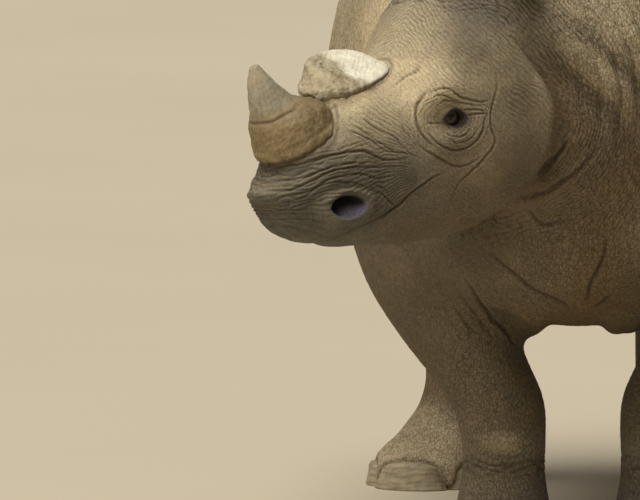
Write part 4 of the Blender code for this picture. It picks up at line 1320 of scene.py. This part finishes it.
def front_horn_warp(local):
    """The boss is flattened in front and at its left, so that the cone runs down into it."""
    x, y, z = local.T
    turn = np.arctan2(x, -y)  # 0 in front, positive to the left
    girth = near(z, 0.036, 0.022)
    pull = 0.095 * girth * near(turn, -0.35, 0.9)
    return np.stack([-pull * x, -pull * y, 0.004 * near(z, 0.058, 0.016) * ramp(y, 0.02, -0.03)], axis=1)


def front_horn_relief(local):
    x, y, z = local.T
    turn = np.arctan2(x, y)
    boss = ramp(z, 0.072, 0.052)
    ribs = folds(turn * 13 / math.pi + 0.6 * noise(local, 0.03, 91), 0.7) - 0.7
    rough = 0.0020 * layered(local, 0.020, 92, 3) + 0.0010 * noise(local, 0.004, 94)
    relief = boss * (0.0006 * ribs + rough)
    relief += 0.0010 * near(z, 0.008, 0.006) - 0.0008 * near(z, 0.017, 0.0045)
    crease = near(z, 0.070 + 0.003 * noise(local, 0.03, 95), 0.0028) * ramp(y, 0.02, -0.02)
    return relief - 0.0020 * crease + (1 - boss) * (0.0007 * layered(local, 0.014, 96, 3) + 0.0004 * ribs)


def front_horn_colours(local, _):
    y, z = local.T[1:]
    cloud = layered(local, 0.032, 97, 3)
    fine = layered(local, 0.009, 98, 2)
    stain = near(np.hypot((y - 0.030) / 0.050, (z - 0.052) / 0.020), 0, 1)
    stain = stain + 0.6 * near(z, 0.026, 0.012)
    rim = near(z, 0.009, 0.005) * ramp(y, -0.05, 0.03)
    return coloured(HORN_TAN, len(local), (
        (HORN_BROWN, 0.55 * stain + 0.35 * cloud + 0.15 * fine),
        (HORN_RIM, 0.75 * rim + 0.30 * cloud),
        (HORN_TIP, ramp(z, 0.070, 0.096) * (0.80 + 0.3 * cloud)),
        (HORN_RIM, 0.5 * ramp(z, 0.122, 0.140)),
        # Painted shade in the groove over the boss, in front.
        (HORN_BROWN * 0.7, 0.6 * near(z, 0.071, 0.003) * ramp(y, 0.0, -0.03)),
        # Painted shade at the foot, where the horn meets the skin.
        (HORN_BROWN * 0.5, 0.8 * ramp(z, 0.003, -0.004)),
    ))


def front_horn_grain(local):
    turn = np.arctan2(local[:, 0], local[:, 1])
    return np.stack([np.cos(turn) * 22, np.sin(turn) * 22, local[:, 2] * 30], axis=1)


def rear_horn_warp(local):
    """The foot of the cut horn runs out forwards."""
    _, y, z = local.T
    shift = np.zeros_like(local)
    shift[:, 1] = -0.010 * ramp(y, 0.0, -0.07) * ramp(z, 0.05, 0.0)
    shift[:, 2] = 0.014 * ramp(y, -0.030, -0.075) * ramp(z, 0.040, 0.0)
    return shift


def rear_horn_relief(local):
    x, y, z = local.T
    worn = ramp(z - (0.036 - 0.17 * y - 0.58 * x), -0.022, -0.012) * ramp(y, -0.030, 0.0)
    ribs = folds(np.arctan2(x, y) * 12 / math.pi + 0.5 * noise(local, 0.03, 101), 0.7) - 0.7
    rough = 0.0007 * ribs + 0.0024 * layered(local, 0.016, 102, 3)
    relief = (1 - worn) * (rough - 0.0016 * ramp(noise(local, 0.007, 104), 0.2, 0.7))
    strokes = folds((0.81 * x + 0.59 * y) / 0.0070 + 0.4 * noise(local, 0.03, 105), 0.7) - 0.7
    relief += worn * (0.0006 * strokes + 0.0007 * layered(local, 0.022, 106, 3))
    return relief + 0.0014 * near(z, 0.005, 0.005)


def rear_horn_colours(local, normals):
    _, y, z = local.T
    cloud = layered(local, 0.028, 107, 3)
    fine = layered(local, 0.008, 108, 2)
    face = ramp(normals[:, 2], 0.20, 0.60)
    worn = ramp(normals[:, 2], -0.1, 0.3) * ramp(y + 0.02 * cloud, -0.030, 0.0)
    return coloured(mix(HORN_TAN, HORN_WORN, 0.42), len(local), (
        (HORN_TAN, 0.45 + 0.7 * cloud),
        (HORN_BROWN, ramp(fine + 0.5 * cloud, 0.25, 0.75) * 0.8),
        (HORN_WORN, worn * (0.95 + 0.1 * cloud)),
        (HORN_RIM, 0.5 * face * ramp(y, -0.045, -0.070)),
        # Painted shade at the foot, where the horn meets the skin.
        (HORN_BROWN, 0.8 * ramp(z, 0.004, -0.004)),
    ))


def rear_horn_grain(local):
    x, y, z = local.T
    return np.stack([(0.81 * x + 0.59 * y) * 260, (0.81 * y - 0.59 * x) * 30, z * 60], axis=1)


def make_nail(node, material):
    """One nail of a foot, with growth rings and a worn lower edge."""
    points, faces = nail_arrays(node)
    rings = np.sin(2 * math.pi * (points[:, 2] / 0.011 + 0.6 * layered(points, 0.05, 111, 2)))
    relief = 0.00035 * rings + 0.0012 * layered(points, 0.022, 112, 3)
    points = points + relief[:, None] * normals_of(points, faces)
    points[:, 2] = np.clip(points[:, 2], 0, None)
    return dressed(object_of(node.replace("hoof", "nail"), points, faces), material, "hoof", node)


# ---------------------------------------------------------------- hair


TUFT_HAIRS = 620
FRINGE_HAIRS = 900
LASHES = 60


def bristles(name, roots, ways, lengths, maps, material, thick=0.00045, droop=0.0, seed=0):
    """Thin tapering three-sided hairs. Each leaves its root in its own way, and droop bends it down."""
    random = np.random.default_rng(seed)
    shares = np.linspace(0, 1, 5)
    points, faces, spots = [], [], []
    for root, way, length, spot in zip(roots, ways, lengths, maps):
        way = way / np.linalg.norm(way)
        across = np.cross(way, (0.31, 0.24, 0.92))
        across /= np.linalg.norm(across)
        other = np.cross(way, across)
        bend = across * random.normal(0, 0.12) + other * random.normal(0, 0.12) + np.array((0, 0, -droop))
        first = len(points)
        for level, share in enumerate(shares):
            centre = root + length * (way * share + bend * share**2)
            width = thick * (1 - 0.85 * share)
            for corner in range(3):
                turn = 2 * math.pi * corner / 3
                points.append(centre + width * (across * math.cos(turn) + other * math.sin(turn)))
                spots.append(spot + 0.003 * np.array((corner / 2 - 0.5, share - 0.5)))
        for level in range(len(shares) - 1):
            for corner in range(3):
                a = first + 3 * level + corner
                b = first + 3 * level + (corner + 1) % 3
                faces += [(a, b, b + 3), (a, b + 3, a + 3)]
        last = first + 3 * (len(shares) - 1)
        faces += [(first, first + 2, first + 1), (last, last + 1, last + 2)]
    faces = np.array(faces)
    tuft = object_of(name, np.array(points), faces)
    layer = tuft.data.uv_layers.new(name="OFBake")
    layer.data.foreach_set("uv", np.array(spots, np.float32)[faces.ravel()].ravel())
    return dressed(tuft, material, "hair")


def make_tail_tuft(skin_points, material):
    """Stiff dark bristles along the front and back edges of the tail's end."""
    random = np.random.default_rng(201)
    low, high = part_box("tail")
    middle = middle_of("tail")
    x, y, z = skin_points.T
    hanging = (np.abs(x - middle.x) < 0.05) & (y > high[1] - 0.09)
    end = skin_points[hanging & (z < low[2] + 0.14) & (z > low[2] - 0.02)]
    roots = end[random.permutation(len(end))[:TUFT_HAIRS]]
    down = (low[2] + 0.14 - roots[:, 2]) / 0.14
    centre = np.array((middle.x, roots[:, 1].mean(), 0))
    out = (roots - centre) * (1, 1, 0)
    out /= np.linalg.norm(out, axis=1, keepdims=True)
    ways = out * 0.25 + np.array((0, 0, -1.0)) + random.normal(0, 0.10, out.shape)
    lengths = 0.04 + 0.06 * down + random.uniform(0, 0.025, len(roots))
    maps = np.stack([np.arctan2(out[:, 0], out[:, 1]) / (2 * math.pi) + 0.5, 0.05 + 0.9 * down], axis=1)
    roots = roots - 0.002 * out
    return bristles("tail_tuft", roots, ways, lengths, maps, material, 0.0006, 0.0, 202)


def make_ear_fringe(side, sign, skin_points, material):
    """Short dark hair along an ear's edge, thickest at its tip."""
    random = np.random.default_rng(210 + int(sign))
    matrix = ear_frame(sign)
    x, y, z = in_terms(matrix, skin_points).T
    mine = (z > 0.07) & (z < 0.30) & (np.hypot(x, y) < 0.09)
    x, y, z = x[mine], y[mine], z[mine]
    turned = math.radians(EAR_TWIST * sign)
    wide = x * math.cos(turned) + y * math.sin(turned)
    half = np.interp(z / 0.225, (0.3, 0.58, 0.8, 0.93, 1.0), (0.049, 0.053, 0.040, 0.024, 0.008))
    edge = np.abs(wide) > half * 0.90
    x, y, z, wide = x[edge], y[edge], z[edge], wide[edge]
    chance = ramp(z, 0.09, 0.19) * 0.85 + 0.15
    kept = random.uniform(size=len(chance)) < chance * FRINGE_HAIRS / max(chance.sum(), 1)
    x, y, z, wide = x[kept], y[kept], z[kept], wide[kept]
    out = np.outer(np.sign(wide), (math.cos(turned), math.sin(turned), 0))
    tip = ramp(z, 0.13, 0.22)
    rise = np.outer(0.35 + 0.9 * tip, (0, 0, 1.0))
    ways = out * (1 - 0.6 * tip)[:, None] + rise + random.normal(0, 0.16, out.shape)
    lengths = 0.012 + 0.014 * tip + random.uniform(0, 0.006, len(z))
    maps = np.stack([0.5 + wide / 0.12, z / 0.25], axis=1)
    roots = out_of_terms(matrix, np.stack([x, y, z], axis=1) - 0.001 * out)
    ways = ways @ np.array(matrix)[:3, :3].T
    seed = 212 + int(sign)
    return bristles("ear_fringe_" + side, roots, ways, lengths, maps, material, 0.00035, 0.0, seed)


def make_lashes(side, sign, material):
    """Short lashes on the upper lid."""
    random = np.random.default_rng(230 + int(sign))
    centre = to_head(np.array(middle_of("eye_" + side))[None])[0]
    radius = 0.0262  # of the lid's rim round the eyeball's middle
    across = np.linspace(-0.8, 0.9, LASHES) + random.normal(0, 0.02, LASHES)
    back = EYE_SHIFT[0] + EYE_OPEN[0] * across
    rim = (1 - np.abs(across) ** LID_CURVE) ** (1 / LID_CURVE)
    up = EYE_SHIFT[1] + EYE_OPEN[1] * rim - LID_SLANT * back + 0.002
    out = np.sqrt(np.clip(radius**2 - back**2 - up**2, 1e-6, None))
    roots = from_head(np.stack([sign * out, back, up], axis=1) + centre)
    ways = np.stack([np.full(LASHES, sign * 1.0), back * 22, 0.10 + 12 * up], axis=1)
    ways += random.normal(0, 0.12, ways.shape)
    ways = ways @ np.array(HEAD)[:3, :3].T
    maps = np.stack([np.linspace(0.1, 0.9, LASHES), np.full(LASHES, 0.5)], axis=1)
    lengths = random.uniform(0.009, 0.014, LASHES)
    return bristles("lashes_" + side, roots, ways, lengths, maps, material, 0.00030, 0.25, 232)


# ---------------------------------------------------------------- stage


FLOOR_REACH = 60.0
SUN_POWER = 3.6
SUN_SPREAD = 50.0  # degrees
SUN_WAY = (0.34, 0.40, -1.22)
FILL_PLACE = (-3.5, -7.5, 2.6)
FILL_AIM = (0, -0.4, 0.7)
FILL_POWER = 130.0
SURROUND_POWER = 0.15
LENS = 402.2  # millimetres, on a sensor 36 mm wide
CAMERA_AWAY = 12.25  # in front of the muzzle
CAMERA_LEFT = 0.0852  # of the muzzle
CAMERA_UP = 1.85
CAMERA_DIP = 5.41  # degrees below level


def put(data, place, way):
    """An object for a light or a camera, at a place and looking in a way."""
    thing = bpy.data.objects.new(data.name, data)
    thing.location = place
    thing.rotation_euler = Vector(way).to_track_quat("-Z", "Y").to_euler()
    bpy.context.scene.collection.objects.link(thing)
    return thing


def make_stage():
    """A wide pale floor, a soft high key light, a weak fill, and a pale surround."""
    corners = FLOOR_REACH * np.array(((-1, -1, 0), (1, -1, 0), (1, 1, 0), (-1, 1, 0)), float)
    floor = object_of("floor", corners, np.array(((0, 1, 2, 3),)))
    floor.data.materials.append(floor_material())
    sun = bpy.data.lights.new("key", "SUN")
    sun.energy = SUN_POWER
    sun.angle = math.radians(SUN_SPREAD)
    sun.color = (1.0, 0.96, 0.88)
    put(sun, (0, 0, 0), SUN_WAY)
    fill = bpy.data.lights.new("fill", "AREA")
    fill.shape = "DISK"
    fill.size = 4.0
    fill.energy = FILL_POWER
    fill.color = (1.0, 0.94, 0.86)
    put(fill, FILL_PLACE, Vector(FILL_AIM) - Vector(FILL_PLACE))
    world = bpy.data.worlds.new("studio")
    world.use_nodes = True
    surround = world.node_tree.nodes["Background"]
    surround.inputs["Color"].default_value = (0.95, 0.90, 0.80, 1.0)
    surround.inputs["Strength"].default_value = SURROUND_POWER
    bpy.context.scene.world = world
    bpy.context.scene.view_settings.view_transform = "Standard"


def make_camera():
    """A long lens, far back and a little above, level along +Y and tipped down."""
    data = bpy.data.cameras.new("camera")
    data.lens = LENS
    data.sensor_width = 36.0
    data.clip_end = 200.0
    muzzle = HEAD.translation
    place = (muzzle.x + CAMERA_LEFT, muzzle.y - CAMERA_AWAY, CAMERA_UP)
    dip = math.radians(CAMERA_DIP)
    bpy.context.scene.camera = put(data, place, (0, math.cos(dip), -math.sin(dip)))


def main():
    skin = make_skin(skin_material())
    skin_points, _ = arrays_of(skin)
    eye_look, horn_look = eye_material(), horn_material()
    nail_look, hair_look = nail_material(), hair_material()
    front = (front_horn_warp, 0.066, front_horn_relief, front_horn_grain, front_horn_colours)
    rear = (rear_horn_warp, -1.0, rear_horn_relief, rear_horn_grain, rear_horn_colours)
    make_horn("horn_of_nose", "horn_front", FRONT_HORN, front, horn_look)
    make_horn("horn_of_brow", "horn_rear", REAR_HORN, rear, horn_look)
    for side, sign in SIDES:
        make_eye(side, sign, eye_look)
        make_lashes(side, sign, hair_look)
        make_ear_fringe(side, sign, skin_points, hair_look)
    for node in NAILS:
        make_nail(node, nail_look)
    make_tail_tuft(skin_points, hair_look)
    make_stage()
    make_camera()


main()
